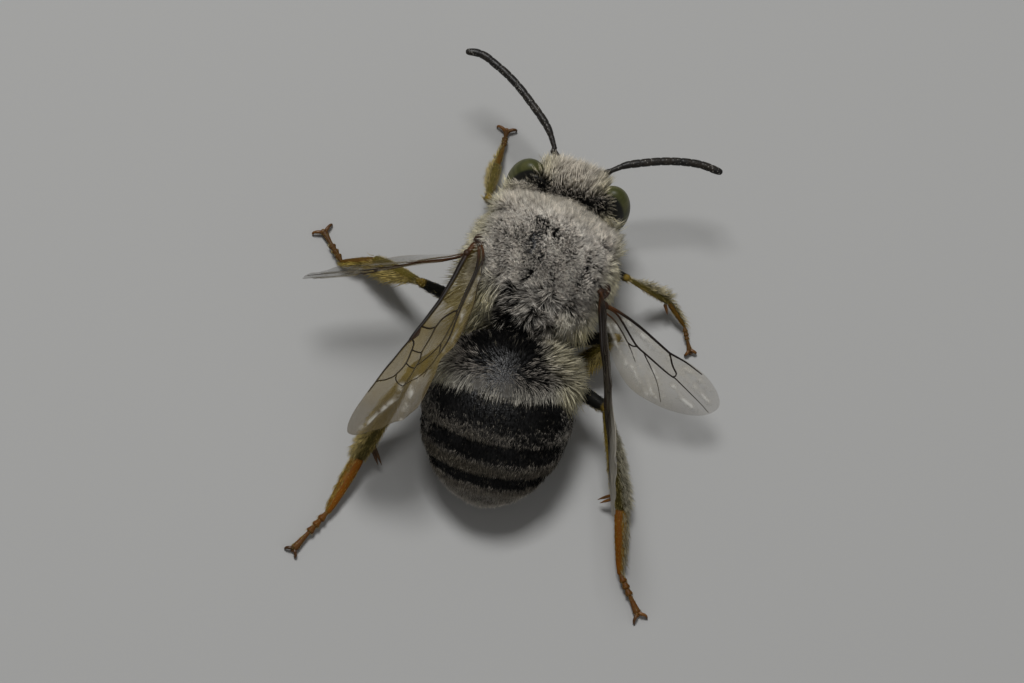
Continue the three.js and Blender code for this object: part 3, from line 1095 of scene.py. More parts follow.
@dataclass(frozen=True)
class Pile:
    """One stretch of coat: how its locks look and how densely they stand. A lock is one unit long."""

    name: str
    zone: Zone
    spacing: float
    slot: str
    hairs: int = 4
    girth: float = 0.03
    spread: float = 0.1
    gather: float = 0.5
    curl: float = 0.22
    joints: int = 1
    seed: int = 1
    stray: float = 0.2
    kind: HairKind = HairKind.BODY

    VARIANTS = 5
    SIDES = 3
    PATCH = 0.003
    SHORTEST_HAIR = 0.7
    THINNING = 0.45

    def lock(self, rng: np.random.Generator) -> Shape:
        """A few thin closed hairs that rise along Z, gather towards their tips and bend towards X.

        Args:
            rng: the source of the hairs' differences.

        Returns:
            The lock, with the marks along, shade, patch_u and patch_v.
        """
        hairs = []
        levels = np.linspace(0, 1, self.joints + 2)
        for k in range(self.hairs):
            root = np.append(rng.normal(0.0, self.spread, 2), -0.05)
            tip = np.append(rng.normal(0.0, self.spread, 2) * (1 - self.gather), 0.0)
            fan = tip - root * (self.gather, self.gather, 0.0)
            height = rng.uniform(self.SHORTEST_HAIR, 1.0)
            bend = self.curl * rng.uniform(0.5, 1.4)
            turn = rng.uniform(0, 2 * math.pi)
            line = np.array([
                root + fan * t + np.array([bend * t * t, 0.0, height * t * (1 - 0.35 * bend * t)])
                for t in levels
            ])
            angles = turn + np.arange(self.SIDES) * 2.0 * math.pi / self.SIDES
            ring = np.stack([np.cos(angles), np.sin(angles), np.zeros(self.SIDES)], axis=1)
            widths = self.girth * (1 - self.THINNING * levels[:-1])
            rings = line[:-1, None] + ring[None] * widths[:, None, None]
            hair = self._tapered(rings, line[-1])
            along = np.concatenate([np.repeat(levels[:-1], self.SIDES), [1.0]])
            patch = (k + 0.5) / self.hairs
            hairs.append(hair.marked(along=along, shade=rng.uniform(), patch_u=patch, patch_v=along))
        return Shape.joined(hairs)

    @staticmethod
    def _tapered(rings: Array, tip: Array) -> Shape:
        """Closed spike over rings.

        Args:
            rings: rings of points, as rings by sides by 3.
            tip: the point that it ends in.

        Returns:
            The spike.
        """
        count, sides, _ = rings.shape
        faces = [tuple(range(sides))[::-1]]
        for k in range(count - 1):
            a, b = k * sides, (k + 1) * sides
            faces += [(a + i, a + (i + 1) % sides, b + (i + 1) % sides, b + i) for i in range(sides)]
        last = (count - 1) * sides
        faces += [(last + i, last + (i + 1) % sides, count * sides) for i in range(sides)]
        return Shape(np.vstack([rings.reshape(-1, 3), tip[None]]), faces)


GROWTH_MARKS = ("comb", "stand", "reach", "thick", "zone")


class Groomer:
    """Grows coats on marked skins."""

    def __init__(self, bench: Bench) -> None:
        """Build the shared tree and the materials of the hair.

        Args:
            bench: builds and places the pieces.
        """
        self.bench = bench
        self.tree = CoatTree()
        colours = {HairKind.BODY: CoatColours(), HairKind.LEG: GOLDEN}
        self.materials = {kind: HairFinish(kind.value, shades).make() for kind, shades in colours.items()}

    def grow(self, skin: Object, pile: Pile, centre: Array, reach: Array) -> Object:
        """Grow one pile on its zone of a skin.

        Args:
            skin: the marked skin, in millimetres.
            pile: the pile.
            centre: middle of the skin's own form, for the unwrap.
            reach: half the form's length each way, for the unwrap.

        Returns:
            The coat piece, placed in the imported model's frame.
        """
        rng = np.random.default_rng(pile.seed)
        locks = bpy.data.collections.new("locks")
        bpy.context.scene.collection.children.link(locks)
        for k in range(Pile.VARIANTS):
            lock = self.bench.build(f"lock_{k}", pile.lock(rng), self.materials[pile.kind])
            bpy.context.scene.collection.objects.unlink(lock)
            locks.objects.link(lock)
        base = stand_up(pile.name, skin.data.copy())
        growth = base.modifiers.new("Coat", "NODES")
        growth.node_group = self.tree.tree
        settings = {
            "Zone": pile.zone.value, "Spacing": pile.spacing, "Seed": pile.seed, "Locks": locks,
            "Material": self.materials[pile.kind], "Stray": pile.stray,
        }
        for name, value in settings.items():
            growth[self.tree.inputs[name]] = value
        coat = self.bench.settle(base)
        for lock in list(locks.objects):
            bpy.data.meshes.remove(lock.data)
        bpy.data.collections.remove(locks)
        self._unwrap(coat.data, centre, reach)
        return self.bench.place(coat, pile.slot)

    @staticmethod
    def _unwrap(mesh: Mesh, centre: Array, reach: Array) -> None:
        """Lay each tuft as a small patch at its root's place on an eight-sided unwrap of the skin's form.

        Args:
            mesh: the coat, whose marks are read and then thinned to those that its material reads.
            centre: middle of the skin's own form.
            reach: half the form's length each way.
        """
        data = {name: mesh.attributes[name].data for name in ("root", "patch_u", "patch_v")}
        root = (read(data["root"], "vector", 3) - centre) / reach
        root /= np.maximum(np.abs(root).sum(axis=1, keepdims=True), 1e-9)
        x, y, z = root.T
        fold_x, fold_y = (1 - np.abs(y)) * np.where(x < 0, -1, 1), (1 - np.abs(x)) * np.where(y < 0, -1, 1)
        flat = np.stack([np.where(z < 0, fold_x, x), np.where(z < 0, fold_y, y)], axis=1)
        low, high = flat.min(axis=0), flat.max(axis=0)
        flat = (flat - low) / (high - low) * (1 - 2 * Pile.PATCH) + Pile.PATCH / 2
        patch = np.stack([read(data[name], "value") for name in ("patch_u", "patch_v")], axis=1)
        corners = np.zeros(len(mesh.loops), np.int32)
        mesh.loops.foreach_get("vertex_index", corners)
        layer = mesh.uv_layers.new(name="OFBake")
        layer.data.foreach_set("uv", (flat + patch * Pile.PATCH)[corners].astype(np.float32).ravel())
        kept = {"position", "pale", "cream", "brown", "dark", "tone", "along", "shade"}
        for name in [a.name for a in mesh.attributes if a.domain == "POINT" and a.name not in kept]:
            mesh.attributes.remove(mesh.attributes[name])


# ---------------------------------------------------------------- body
@dataclass(frozen=True)
class ThoraxSize:
    """The thorax out to its hair tips, and its shell."""

    coat: Ovoid = Ovoid((0.0, -0.9, 3.75), 3.68, 2.85, 3.7, 2.6, 2.6)
    shell: Ovoid = Ovoid((0.0, -0.9, 3.75), 3.12, 2.4, 2.9, 2.22, 2.0)
    collar: Ovoid = Ovoid((0.0, -2.7, 4.05), 2.45, 0.72, 1.1, 1.05, 1.3)
    shoulder: Ovoid = Ovoid((1.85, -2.4, 4.05), 0.95, 0.7, 0.9, 0.95, 1.2)
    scutellum: Ovoid = Ovoid((0.0, 1.15, 4.6), 1.75, 0.9, 0.85, 0.75, 0.9)
    propodeum: Ovoid = Ovoid((0.02, 1.85, 3.75), 1.6, 0.9, 0.75, 1.0, 1.2)
    pleuron: Ovoid = Ovoid((1.75, -0.95, 2.75), 1.15, 1.7, 1.7, 1.1, 1.0)
    neck: Ovoid = Ovoid((0.0, -3.65, 3.6), 0.85, 0.7, 0.8, 0.75, 0.75)


@dataclass(frozen=True)
class HeadSize:
    """The head out to its hair tips, its capsule and the lumps on it, before it is turned on the neck."""

    pivot: Point = (0.0, -3.8, 3.5)
    turn_degrees: float = 3.5
    back: float = 0.18
    coat: Ovoid = Ovoid((0.0, -4.65, 3.5), 2.6, 1.25, 1.05, 1.85, 2.3, 14.0)
    capsule: Ovoid = Ovoid((0.0, -4.65, 3.5), 2.15, 0.98, 0.78, 1.52, 2.05, 14.0)
    gena: Ovoid = Ovoid((1.35, -4.2, 2.75), 0.75, 0.55, 0.5, 1.2, 1.05, 14.0)
    snout: Ovoid = Ovoid((0.0, -5.25, 2.45), 0.95, 0.36, 0.5, 0.85, 0.95, 14.0)
    brow: Ovoid = Ovoid((0.0, -5.42, 3.45), 0.42, 0.24, 0.4, 0.62, 0.5, 14.0)
    crown: Ovoid = Ovoid((0.0, -5.0, 4.82), 0.62, 0.3, 0.3, 0.22, 0.35, 14.0)
    temple: Ovoid = Ovoid((1.6, -4.14, 3.45), 1.0, 0.58, 0.42, 1.62, 1.6, 14.0)
    eye: Ovoid = Ovoid((1.98, -4.6, 3.6), 0.95, 0.85, 0.75, 1.6, 1.75, 14.0)

    def _turn(self) -> Array:
        """Matrix that turns a row by the head's angle to its left."""
        c, s = math.cos(math.radians(self.turn_degrees)), math.sin(math.radians(self.turn_degrees))
        return np.array([[c, s, 0.0], [-s, c, 0.0], [0.0, 0.0, 1.0]])

    def posed(self, points: Array) -> Array:
        """Points of the straight head, turned on the neck and drawn back."""
        return (points - self.pivot) @ self._turn() + self.pivot + (0.0, self.back, 0.0)

    def straight(self, points: Array) -> Array:
        """Points of the posed head, as they were before it was turned."""
        return (points - self.pivot - (0.0, self.back, 0.0)) @ self._turn().T + self.pivot


@dataclass(frozen=True)
class Abdomen:
    """The abdomen out to its hair tips: an axis, with rows of share, half width, rise and drop."""

    start: Point = (0.1, 2.75, 3.7)
    end: Point = (-1.3, 10.08, 1.85)
    rows: tuple[tuple[float, float, float, float], ...] = (
        (0.0, 0.9, 0.9, 0.9), (0.06, 2.15, 1.7, 1.5), (0.16, 3.05, 2.1, 2.0), (0.34, 3.38, 2.35, 2.2),
        (0.55, 3.38, 2.4, 2.0), (0.75, 2.85, 2.05, 1.5), (0.9, 1.95, 1.45, 0.9), (0.98, 0.95, 0.75, 0.45),
        (1.0, 0.55, 0.4, 0.25),
    )
    waist_depth: float = 0.4
    band_depth: float = 0.13
    lean: float = 0.58
    edges: tuple[float, ...] = (1.8, 3.9, 5.55, 6.7, 7.4)
    step_mm: float = 0.06

    def axes(self) -> tuple[Array, Array, Array, float]:
        """The abdomen's own directions.

        Returns:
            Its axis, side and top, and the axis's length.
        """
        reach = np.array(self.end) - np.array(self.start)
        length = float(np.linalg.norm(reach))
        axis = reach / length
        side = unit(np.cross(UP, axis))
        return axis, side, np.cross(axis, side), length

    def sections(self) -> Array:
        """The rows on a smooth curve, as many rows of share, half, rise and drop."""
        return smooth_path(self.rows, 60)

    def local(self, points: Array) -> tuple[Array, Array, Array]:
        """Where points lie by the abdomen's own directions.

        Args:
            points: points in the bee's frame.

        Returns:
            Distances along the axis, to its side and above it, in millimetres.
        """
        axis, side, top, _ = self.axes()
        p = points - np.array(self.start)
        return p @ axis, p @ side, p @ top

    def radial(self, points: Array) -> Array:
        """How far out points lie, with 1 at the hair tips.

        Args:
            points: points in the bee's frame.

        Returns:
            One share a point, raised past either end.
        """
        a, b, c = self.local(points)
        share = a / self.axes()[3]
        rows = self.sections()
        half, rise, drop = (np.interp(share, rows[:, 0], rows[:, k]) for k in (1, 2, 3))
        past = np.maximum(-share, 0.0) * 9.0 + np.maximum(share - 1.0, 0.0) * 9.0
        return np.hypot(b / half, c / np.where(c > 0, rise, drop)) + past

    def ring_place(self, points: Array) -> Array:
        """Place along the abdomen in which each ring's edge is one number."""
        a, _, c = self.local(points)
        return a - self.lean * c

    def depth(self, share: Array) -> Array:
        """How deep the coat is at a share of the axis."""
        return self.band_depth + (self.waist_depth - self.band_depth) * (1 - ease(share, 0.26, 0.42))

    def shape(self) -> Shape:
        """Closed mesh of the shell under the coat.

        Returns:
            The mesh.
        """
        axis, side, top, length = self.axes()
        angles = np.linspace(0, 2 * math.pi, 72, endpoint=False)
        sine = np.sin(angles)[:, None]
        rings = []
        for share, half, rise, drop in self.sections():
            depth = min(float(self.depth(share)), 0.45 * half)
            centre = np.array(self.start) + axis * length * share
            tall = np.where(sine > 0, rise - depth, max(drop - depth, 0.1))
            rings.append(centre + (half - depth) * np.cos(angles)[:, None] * side + tall * sine * top)
        first, last = np.array(self.start) - axis * 0.1, np.array(self.end) + axis * 0.1
        return loft(np.array(rings), first, last)


BAND_LOCK = (4, 0.052, 0.24, 0.2, 0.15, 0)


@dataclass(frozen=True)
class Spot:
    """A spot on the back: its middle, its half length each way and how strong it is."""

    x: float
    y: float
    width: float
    length: float
    strength: float = 1.0

    @staticmethod
    def rows(*rows: tuple[float, ...]) -> tuple["Spot", ...]:
        """One spot for each row."""
        return tuple(Spot(*row) for row in rows)

    @staticmethod
    def cover(spots: tuple["Spot", ...], points: Array) -> Array:
        """How much all the spots cover each point.

        Args:
            spots: the spots.
            points: points in the bee's frame.

        Returns:
            One share a point, from 0 to 1.
        """
        shares = []
        for spot in spots:
            x, y = (points[:, 0] - spot.x) / spot.width, (points[:, 1] - spot.y) / spot.length
            shares.append(spot.strength * bump(np.hypot(x, y), 1.0))
        return held(sum(shares))


@dataclass
class Coat:
    """How the coat grows at each point of a skin: its colour, its length, and its lie."""

    pale: Array
    cream: Array
    brown: Array
    dark: Array
    bare: Array
    thick: Array
    reach: Array
    stand: Array
    comb: Array

    @staticmethod
    def blank(count: int) -> "Coat":
        """A plain grey coat that lies backwards.

        Args:
            count: how many points the skin has.

        Returns:
            The coat.
        """
        zero = np.zeros(count)
        colours = [zero.copy() for _ in range(5)]
        return Coat(*colours, zero + 1.0, zero + 0.4, zero + 0.5, np.tile([0.0, 1.0, 0.0], (count, 1)))

    def put(self, where: Array, other: "Coat") -> None:
        """Take another coat's values where a mask says."""
        for item in fields(self):
            getattr(self, item.name)[where] = getattr(other, item.name)[where]


@dataclass(frozen=True)
class Markings:
    """Where the coat is pale, dark, brown or cream, how long it is and which way it lies.

    Each method first works out where its stretches of coat are, as shares from 0 to 1, and then mixes every
    value of the coat from those shares.
    """

    head: HeadSize = HeadSize()
    thorax: ThoraxSize = ThoraxSize()
    abdomen: Abdomen = Abdomen()
    head_margin: float = 0.06
    abdomen_margin: float = 0.05
    whorl: Point = (-0.55, 1.3, 5.4)
    parting: Point = (-0.27, 5.19, 5.29)
    dark_front: Point = (0.3, 3.65, 5.15)
    dark_reach: Point = (1.7, 1.1, 1.5)
    spots: tuple[Spot, ...] = Spot.rows(
        (0.86, -1.92, 0.28, 0.3, 0.5), (0.5, -1.84, 0.26, 0.22, 0.5), (0.18, -1.68, 0.3, 0.24, 0.5),
        (-0.1, -1.52, 0.26, 0.28, 0.5), (0.29, -1.31, 0.24, 0.22, 0.45), (0.86, -0.95, 0.12, 0.3),
        (0.62, -0.8, 0.11, 0.32, 0.9), (0.72, -1.28, 0.16, 0.1, 0.8), (0.74, -0.4, 0.14, 0.12, 0.7),
        (0.36, 0.55, 0.14, 0.34, 0.9), (-0.62, 0.42, 0.12, 0.28, 0.6), (-2.3, -1.05, 0.45, 0.14, 0.6),
        (-1.85, -0.7, 0.18, 0.3, 0.5), (-2.35, -0.45, 0.4, 0.14, 0.5), (-1.75, -0.05, 0.2, 0.3, 0.5),
        (0.2, -0.35, 0.16, 0.34, 0.6),
    )
    clumps: tuple[Spot, ...] = Spot.rows(
        (0.95, 1.3, 0.55, 0.32, 0.4), (0.55, 2.25, 0.75, 0.6, 0.65), (-1.65, 0.75, 0.3, 0.3, 0.5),
        (-2.15, 1.35, 0.3, 0.3, 0.5), (-0.72, 1.4, 0.14, 0.28, 0.7), (-0.3, 2.55, 0.7, 0.4, 0.75),
    )
    tufts: tuple[tuple[Point, float], ...] = (
        ((-2.4, 1.2, 3.4), 0.6), ((2.3, 1.4, 3.3), 0.8), ((1.5, 1.8, 3.3), 0.75),
    )
    gaps: tuple[tuple[float, float], ...] = ((2.66, -1.21), (2.72, 0.1))
    gap_length: float = 0.36
    gap_width: float = 0.2

    def regions(self, points: Array) -> Array:
        """Which part each point belongs to.

        Args:
            points: points in the bee's frame.

        Returns:
            0 for the head, 1 for the thorax and 2 for the abdomen.
        """
        head = np.linalg.norm(self.head.coat.local(self.head.straight(points)), axis=1) + self.head_margin
        thorax = np.linalg.norm(self.thorax.coat.local(points), axis=1)
        return np.argmin(np.stack([head, thorax, self.abdomen.radial(points) + self.abdomen_margin]), axis=0)

    def read(self, points: Array) -> Coat:
        """The coat over the whole body.

        Args:
            points: points of the skin.

        Returns:
            The coat at each point.
        """
        region = self.regions(points)
        coat = self._thorax(points)
        coat.put(region == 0, self._head(points))
        coat.put(region == 2, self._abdomen(points))
        coat.comb = unit(coat.comb)
        coat.thick = held(coat.thick)
        return coat

    def _head(self, points: Array) -> Coat:
        """Long pale hair on crown, face and cheeks, black hair behind the crown that is partly painted shade
        where the head meets the thorax, pale hair behind the eyes.

        Args:
            points: points in the bee's frame.

        Returns:
            The coat at each point.
        """
        coat = Coat.blank(len(points))
        points = self.head.straight(points)
        q = self.head.capsule.local(points)
        x, front, rise = q[:, 0], -q[:, 1], q[:, 2]
        side = np.abs(x)
        crown = ease(rise, 0.25, 0.6)
        behind = ease(front, -0.46, -0.78) * crown
        outer = ease(side, 0.62, 0.85) * ease(front, 0.2, -0.1)
        face = ease(front, 0.1, 0.4) * (1 - crown)
        cheek = (1 - face) * (1 - crown)
        by_eye = ease(side, 0.3, 0.62)
        plate = np.linalg.norm(self.head.snout.local(points), axis=1)
        open_face = ease(plate, 1.1, 0.98) * ease(front, 0.3, 0.6)
        eyes = (self.head.eye, self.head.eye.mirrored())
        near_eye = np.minimum(*[np.linalg.norm(eye.local(points), axis=1) for eye in eyes])
        noise, fine = waves(points, 0.5, 11), waves(points, 0.15, 12)

        # black behind the crown is partly painted shade where the head meets the thorax and partly dark hair
        # beside the eyes; bare below darkens the same place
        black = behind * (0.18 + 0.28 * noise + 0.42 * by_eye) + 0.12 * crown * (1 - behind) * by_eye
        coat.dark = held(held(black) * (1 - 0.5 * outer) + 0.2 * ease(fine, 0.4, 1))
        coat.brown = crown * (0.16 + 0.24 * behind)
        coat.pale = held(0.35 * cheek + 0.45 * face + 0.3 * outer + 0.2 * fine)
        cream = (0.1 + 0.35 * by_eye) * crown * (1 - behind)
        coat.cream = held(cream + 0.35 * cheek + 0.35 * outer + 0.15 * face)
        coat.bare = held(0.9 * behind + 0.1 + open_face)
        coat.thick = (1 - 0.25 * behind) * ease(near_eye, 0.98, 1.05) * (1 - open_face)
        coat.reach = 0.5 * behind + 0.9 * crown * (1 - behind) + 0.45 * face + 0.62 * cheek
        coat.reach = coat.reach * (1 - 0.15 * outer * crown)
        coat.stand = 0.6 + 0.2 * behind - 0.15 * face

        outward = np.sign(x)[:, None] * np.array([1.0, 0.0, 0.0])
        forward, upright = np.array([0.0, -0.9, 0.55]), np.array([0.0, -0.2, 0.9])
        upward = forward * (1 - behind[:, None]) + upright * behind[:, None]
        coat.comb = crown[:, None] * (upward + 0.45 * side[:, None] * outward)
        coat.comb += face[:, None] * (np.array([0.0, -0.25, -1.0]) + 0.5 * outward)
        coat.comb += cheek[:, None] * (np.array([0.0, 0.75, -0.45]) + 0.6 * outward)
        coat.comb += outer[:, None] * (np.array([0.0, -0.15, 0.7]) + 0.5 * outward)
        coat.comb += 0.3 * self._swirl(points, 0.8, 21)
        return coat

    def _thorax(self, points: Array) -> Coat:
        """Upright plush, long and radiating behind, with cream sides and a few dark spots.

        Args:
            points: points in the bee's frame.

        Returns:
            The coat at each point.
        """
        coat = Coat.blank(len(points))
        q = self.thorax.coat.local(points)
        x, y = points[:, 0], points[:, 1]
        side, rise = np.abs(q[:, 0]), q[:, 2]
        hips = ease(np.abs(x + 0.1), 1.25, 1.75) * ease(y, 0.9, 1.5)
        flank = np.maximum(held(ease(side, 0.66, 0.8) + ease(rise, 0.25, -0.1)), hips)
        top = 1 - flank
        rear = ease(y, 0.5, 1.35) * top
        front = ease(y, -2.1, -3)
        left = ease(x, -0.5, 1.5)
        noise, fine, clump = waves(points, 0.7, 3), waves(points, 0.16, 5), waves(points, 0.24, 17)
        spot = Spot.cover(self.spots, points) * top
        away = [bump(np.linalg.norm(points - np.array(place), axis=1), width) for place, width in self.tufts]
        tuft = held(sum(away))

        coat.pale = held(0.44 + 0.25 * fine + 0.12 * noise + 0.7 * flank - 0.25 * front * top)
        cream = 0.55 * flank * (1 - 0.7 * hips * (1 - left)) + 0.1 * front + 0.3 * hips * left
        coat.cream = np.maximum(held(cream + 0.15 * ease(rise, -0.1, -0.5)), tuft)
        coat.brown = 0.34 * top * ease(x + noise, 0, 2.2)
        clumps = 0.25 * rear * ease(clump, 0, 0.6) + top * Spot.cover(self.clumps, points)
        coat.dark = held(0.9 * spot + clumps + 0.18 * top * ease(fine, 0.35, 1))
        coat.bare = held(spot + rear + 0.5 * top)
        coat.thick = 1 - 0.55 * spot - 0.2 * rear
        coat.reach = (
            0.36 * top + 0.8 * flank + 0.36 * rear + (0.26 + 0.06 * left) * front + 0.03 * noise - 0.1 * spot
        )
        coat.reach += 0.45 * hips + (0.85 + 0.3 * left) * tuft + 0.45 * left * flank * ease(y, -0.9, 0.5)
        coat.stand = 0.86 * top + 0.62 * flank - 0.42 * rear - 0.2 * front - 0.15 * hips

        radiating = unit(points - np.array(self.whorl))
        lift = 0.3 * top - 0.25 * flank + 0.3 * front
        outward = np.column_stack([0.9 * q[:, 0], 0.45 - 1.9 * front, lift])
        coat.comb = rear[:, None] * radiating + (1 - rear[:, None]) * outward
        coat.comb += hips[:, None] * np.array([0.0, 1.6, 0.2]) + tuft[:, None] * np.array([0.0, 1.0, -0.3])
        coat.comb += (tuft * np.sign(x))[:, None] * np.array([1.3, 0.0, 0.0])
        coat.comb += (0.6 - 0.3 * flank[:, None]) * self._swirl(points, 0.55, 31)
        coat.comb += 0.3 * rear[:, None] * self._swirl(points, 0.22, 35)
        return coat

    def _brown(self, ring_place: Array, fine: Array, b: Array) -> Array:
        """Brown hair that thickens towards the rear edge of each ring after the first.

        Args:
            ring_place: place along the abdomen by its rings.
            fine: fine irregularity.
            b: distance to the abdomen's side.

        Returns:
            How brown each point is, from 0 to 1.
        """
        t = ring_place
        second_end, third_end = self.abdomen.edges[1:3]
        brown = np.where(t < second_end, ease(t + 0.12 * fine, 2.7, 3.95) * 0.85, 0.0)
        brown = np.where((t >= second_end) & (t < third_end), ease(t, 4.65, 5.15), brown)
        brown = np.where(t >= third_end, ease(t, 6.1, 6.45), brown)
        return brown * (1 - 0.45 * ease(b, -0.6, 1.2) * ease(t, 5.6, 4.6))

    def _abdomen(self, points: Array) -> Coat:
        """First ring: dark middle, a whorl and a pale fringe. Other rings: black and brown bands.

        Args:
            points: points in the bee's frame.

        Returns:
            The coat at each point.
        """
        coat = Coat.blank(len(points))
        ring = self.abdomen
        a, b, c = ring.local(points)
        noise, fine = waves(points, 0.6, 7), waves(points, 0.16, 9)
        t = ring.ring_place(points) + 0.03 * noise
        first = ease(t, 1.9, 1.8)
        bands = 1 - first
        fringe = ease(t, 1.05, 1.7) * first
        tuft = ease(b + 0.9 * held(1.2 - t), 1.9, 2.7) * first
        flank = np.maximum(ease(np.abs(b), 2, 2.7) * first, tuft)
        under = ease(c, 0.1, -0.8)
        front = (points - np.array(self.dark_front)) / self.dark_reach
        middle = bump(np.linalg.norm(front, axis=1), 1.0)
        gap = held(sum(
            bump(np.hypot((a - gap_a) / self.gap_length, (b - gap_b) / self.gap_width), 1.0)
            for gap_a, gap_b in self.gaps
        ))
        t += 0.03 * fine
        brown = self._brown(t, fine, b)
        tip = ease(t, 6.2, 7)
        rim = held(ease(np.abs(b), 2.45, 3.05) + ease(c, 0.5, -0.3)) * bands

        coat.pale = first * held((0.8 + 0.2 * ease(b, 0.3, -1.5)) * fringe + 0.5 * flank - 0.1 * middle)
        coat.pale += bands * (0.4 * rim + 0.4 * tip)
        coat.cream = first * held(0.35 * flank + 0.2 * tuft + 0.35 * under + 0.15 * fringe)
        coat.brown = bands * held(brown) * (1 - 0.25 * rim - 0.65 * tip) + first * gap
        strands = 0.3 * ease(fine, 0, 0.8)
        whorl = 0.2 + (1 - 0.9 * fringe) * (1.2 * middle + strands + 0.08)
        coat.dark = bands * (1 - brown) * (1 - 0.3 * rim)
        coat.dark += first * (1 - 0.8 * flank) * whorl * (1 - 0.7 * fringe * ease(b, 0, -1.5))
        coat.dark = held(coat.dark * (1 - gap))
        coat.bare = bands * (0.45 + 0.55 * (1 - brown)) + first * (1 - 0.2 * fringe) * (1 - 0.7 * gap)
        coat.bare = held(coat.bare)

        away = points - np.array(self.parting)
        distance = np.linalg.norm(away, axis=1)
        reach = 0.34 + 0.14 * ease(distance, 0.3, 1.2) + 0.36 * flank
        reach = reach + 0.14 * fringe * (1 + ease(b, -0.5, -2)) + 0.5 * tuft - 0.15 * gap
        coat.reach = first * reach
        coat.reach += bands * (0.2 + 0.04 * brown + 0.03 * rim + 0.08 * under)
        coat.stand = first * (0.32 + 0.16 * flank - 0.14 * fringe) + bands * 0.06
        coat.thick = 1 - first * (0.4 * middle + 0.15 * (1 - fringe) + 1.2 * gap) - 0.2 * bands * (1 - brown)
        backwards = np.tile(ring.axes()[0], (len(points), 1))
        coat.comb = (first * (1.2 - 0.8 * fringe))[:, None] * unit(away) + bands[:, None] * backwards
        swirl = 0.25 * self._swirl(points, 0.6, 41)
        coat.comb = coat.comb + swirl + (1.4 * fringe * (1 - 0.6 * tuft))[:, None] * backwards
        return coat

    @staticmethod
    def _swirl(points: Array, size: float, seed: int) -> Array:
        """A direction that turns slowly from place to place."""
        return np.stack([waves(points, size, seed + k) for k in range(3)], axis=1)


# name, zone, spacing, slot, hairs, girth, spread, gather, curl, joints, seed, stray
PILES = (
    Pile("coat_head", Zone.HEAD, 0.06, "grey_coat", 4, 0.018, 0.07, 0.4, 0.28, 1, 3, 0.2),
    Pile("coat_thorax_top", Zone.THORAX_TOP, 0.051, "grey_coat", 8, 0.036, 0.13, 0.6, 0.22, 0, 5, 0.26),
    Pile("coat_thorax_rear", Zone.THORAX_REAR, 0.058, "grey_coat", 6, 0.017, 0.09, 0.3, 0.35, 2, 7, 0.16),
    Pile("coat_thorax_side", Zone.THORAX_SIDE, 0.088, "grey_coat", 4, 0.022, 0.09, 0.5, 0.2, 1, 9, 0.2),
    Pile("coat_waist", Zone.WAIST, 0.056, "grey_coat", 4, 0.024, 0.11, 0.3, 0.28, 1, 11, 0.1),
    Pile("coat_bands_front", Zone.BANDS_FRONT, 0.049, "banded_coat", *BAND_LOCK, 13, 0.1),
    Pile("coat_bands_rear", Zone.BANDS_REAR, 0.049, "banded_coat", *BAND_LOCK, 15, 0.1),
)


